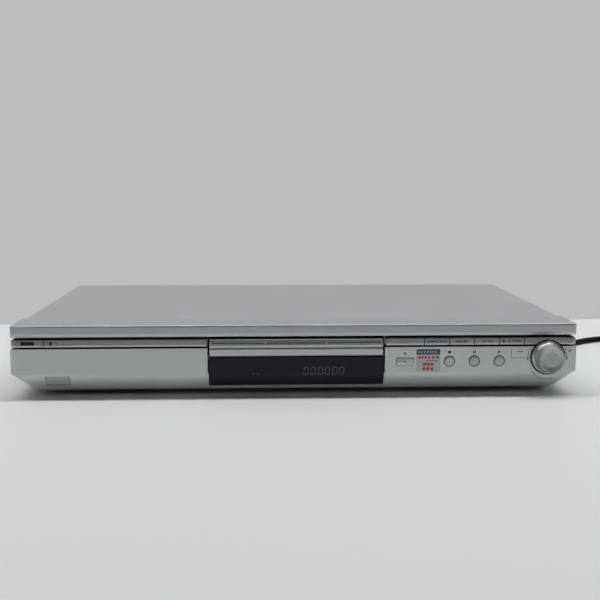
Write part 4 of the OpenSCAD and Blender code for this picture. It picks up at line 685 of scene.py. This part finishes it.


# Painted shade: a near-black material on sheets that stand in for the shade deep in the grooves and
# gaps between the panel's parts
PAINTED_SHADE = {"mat": M["painted_shade"], "slot": "black_plastic"}
DOOR_X = 67.6  # half of the gap for the tray's door
STRIP_X, WALL_X, LOWER_X = 213.4, 208.9, 213.9  # ends of the floors and the walls
KNOB_X = (kx - 10.9, kx + 10.9)
UPPER_FLOOR, LOWER_FLOOR = (44.12, 44.16), (37.42, 37.46)
WALL_DEPTH = (5.93, 5.98)
plates("upper_groove_floor_shade", rect(1.5, 5.9, *UPPER_FLOOR), [(-STRIP_X, -DOOR_X), (DOOR_X, STRIP_X)],
       **PAINTED_SHADE)
plates("upper_groove_wall_shade", rect(*WALL_DEPTH, 44.2, 46.0), [(-WALL_X, -DOOR_X), (DOOR_X, WALL_X)],
       **PAINTED_SHADE)
plates("upper_groove_sides_shade", rect(5.95, 35.8, *UPPER_FLOOR), [(-STRIP_X, -209.1), (209.1, STRIP_X)],
       **PAINTED_SHADE)
plates("lower_groove_floor_shade", rect(0.8, 5.9, *LOWER_FLOOR),
       [(-LOWER_X, -DOOR_X), (DOOR_X, KNOB_X[0]), (KNOB_X[1], LOWER_X)], **PAINTED_SHADE)
plates("lower_groove_wall_shade", rect(*WALL_DEPTH, 37.5, 38.7),
       [(-WALL_X, -DOOR_X), (DOOR_X, KNOB_X[0]), (KNOB_X[1], WALL_X)], **PAINTED_SHADE)
# Painted shade in the seams between the strip's buttons: dark sheets just behind its face
SEAM_PROFILE = [(0.8, 38.95), (0.3, 40.0), (0.8, 43.3), (1.6, 43.95), (5.8, 43.95), (5.8, 38.95)]
SEAM_HALF = 0.22
plates("strip_seam_shade", SEAM_PROFILE,
       [(row_x(i) - SEAM_HALF, row_x(i) + SEAM_HALF) for i in range(-1, 4)]
       + [(-208.82, -208.54), (-189.86, -189.58)], **PAINTED_SHADE)

# Painted shade: dark sleeves in the gaps round the knob and the buttons on the panel
tube("knob_gap_wall_shade", disc(kx, kz, 13.68, 72), disc(kx, kz, 13.6, 72), FRONT + 0.5, FRONT + 5.3,
     **PAINTED_SHADE)
tube("knob_gap_floor_shade", disc(kx, kz, 13.55, 72), disc(kx, kz, 5.2, 72), FRONT + 5.38, FRONT + 5.44,
     **PAINTED_SHADE)
GAP_Y = (FRONT + 0.2, FRONT + 2.4)
for i, name in enumerate(("stop_gap_shade", "pause_gap_shade", "play_gap_shade")):
    tube(name, disc(row_x(i), ROW_Z, 4.33, 40), disc(row_x(i), ROW_Z, 4.27, 40), *GAP_Y, **PAINTED_SHADE)


def button_outline(w, h):
    return rect(TRAY_BUTTON_X - w, TRAY_BUTTON_X + w, ROW_Z - h, ROW_Z + h)


# Painted shade: a dark sleeve in the gap round the tray's button
tube("tray_button_gap_shade", button_outline(6.53, 2.98), button_outline(6.47, 2.92), *GAP_Y,
     **PAINTED_SHADE)


# ---------- coil tie ----------

def tie(name, angle, mat):
    """Flat band round the bundle of turns."""
    a = math.radians(angle)
    radial = Vector((math.cos(a), math.sin(a), 0))
    along = Vector((-math.sin(a), math.cos(a), 0))
    centre = Vector((*COIL, 0)) + radial * (COIL_IN + COIL_OUT) / 2
    half_r = (COIL_OUT - COIL_IN) / 2 + LEAD_D / 2
    low, high, thick, half_w = 0.05, 2 * LEAD_D + 0.1, 0.55, 2.2
    loops = (rounded(-half_r - thick, half_r + thick, low, high + thick, 2.2, 5),
             rounded(-half_r, half_r, low + thick, high, 1.7, 5))
    verts = [tuple(centre + radial * r + along * s + Vector((0, 0, z)))
             for s in (-half_w, half_w) for loop in loops for r, z in loop]
    return mesh_object(name, verts, sleeve_faces(len(loops[0])), mat, "cabinet")


tie_piece = tie("coil_tie", 215, M["rubber"])


# ---------- table, wall and light ----------

def stage_plane(name, corners, mat):
    """Flat piece of the room, which is no part of the object."""
    mesh = bpy.data.meshes.new(name)
    mesh.from_pydata([Vector(c) for c in corners], [], [(0, 1, 2, 3)])
    mesh.materials.append(mat)
    obj = bpy.data.objects.new(name, mesh)
    scene.collection.objects.link(obj)


def table_material():
    m, n, ln, out = new_material("table_top")
    bsdf = n.new("ShaderNodeBsdfPrincipled")
    mix = add_mix(n)
    mix.inputs[MIX_A].default_value = colour((211, 214, 213))
    mix.inputs[MIX_B].default_value = colour((215, 218, 217))
    ln.new(add_noise(n, ln, n.new("ShaderNodeTexCoord").outputs["Object"], 3, 2), mix.inputs[0])
    ln.new(mix.outputs[MIX_OUT], bsdf.inputs["Base Color"])
    bsdf.inputs["Roughness"].default_value = 0.45
    bsdf.inputs["Specular IOR Level"].default_value = 0.25
    ln.new(bsdf.outputs[0], out.inputs[0])
    return m


def wall_material():
    """Plain wall seen from the front only, so that it hides nothing in the back views."""
    m, n, ln, out = new_material("wall")
    emit = n.new("ShaderNodeEmission")
    emit.inputs[0].default_value = colour((187, 188, 190))
    clear = n.new("ShaderNodeBsdfTransparent")
    geo = n.new("ShaderNodeNewGeometry")
    mix = n.new("ShaderNodeMixShader")
    ln.new(geo.outputs["Backfacing"], mix.inputs[0])
    ln.new(emit.outputs[0], mix.inputs[1])
    ln.new(clear.outputs[0], mix.inputs[2])
    ln.new(mix.outputs[0], out.inputs[0])
    return m


FAR = 3.0  # half size of the table and height of the wall, in metres
WALL_Y = (0.1640, 0.2900)  # at its left and right ends
stage_plane("table_top", [(-FAR, -FAR, 0), (FAR, -FAR, 0), (FAR, FAR, 0), (-FAR, FAR, 0)],
            table_material())
stage_plane("wall", [(-FAR, WALL_Y[0], 0), (FAR, WALL_Y[1], 0), (FAR, WALL_Y[1], FAR),
                     (-FAR, WALL_Y[0], FAR)], wall_material())

world = bpy.data.worlds.new("studio")
scene.world = world
world.use_nodes = True
sky, sky_links = world.node_tree.nodes, world.node_tree.links
sky["Background"].inputs[0].default_value = (0.94, 0.96, 1.0, 1)
sky_split = sky.new("ShaderNodeSeparateXYZ")
sky_links.new(sky.new("ShaderNodeTexCoord").outputs["Generated"], sky_split.inputs[0])
# Brighter at the horizon than above
sky_level = add_range(sky, sky_links, sky_split.outputs[2], (0.0, 0.4), (0.20, 0.035))
sky_links.new(sky_level, sky["Background"].inputs[1])


def area(name, place, target, size, power):
    """Rectangular lamp that faces its target."""
    data = bpy.data.lights.new(name, "AREA")
    data.shape = "RECTANGLE"
    data.size, data.size_y = size
    data.energy = power
    obj = bpy.data.objects.new(name, data)
    scene.collection.objects.link(obj)
    obj.location = place
    obj.rotation_mode = "QUATERNION"
    obj.rotation_quaternion = (Vector(target) - Vector(place)).to_track_quat("-Z", "Y")


area("ceiling_bank", (0.0, 0.26, 1.7), (0, 0.26, 0), (2.8, 0.42), 78)
area("front_fill", (-0.1, -1.35, 1.75), (0, -0.12, 0.04), (2.4, 0.3), 3)
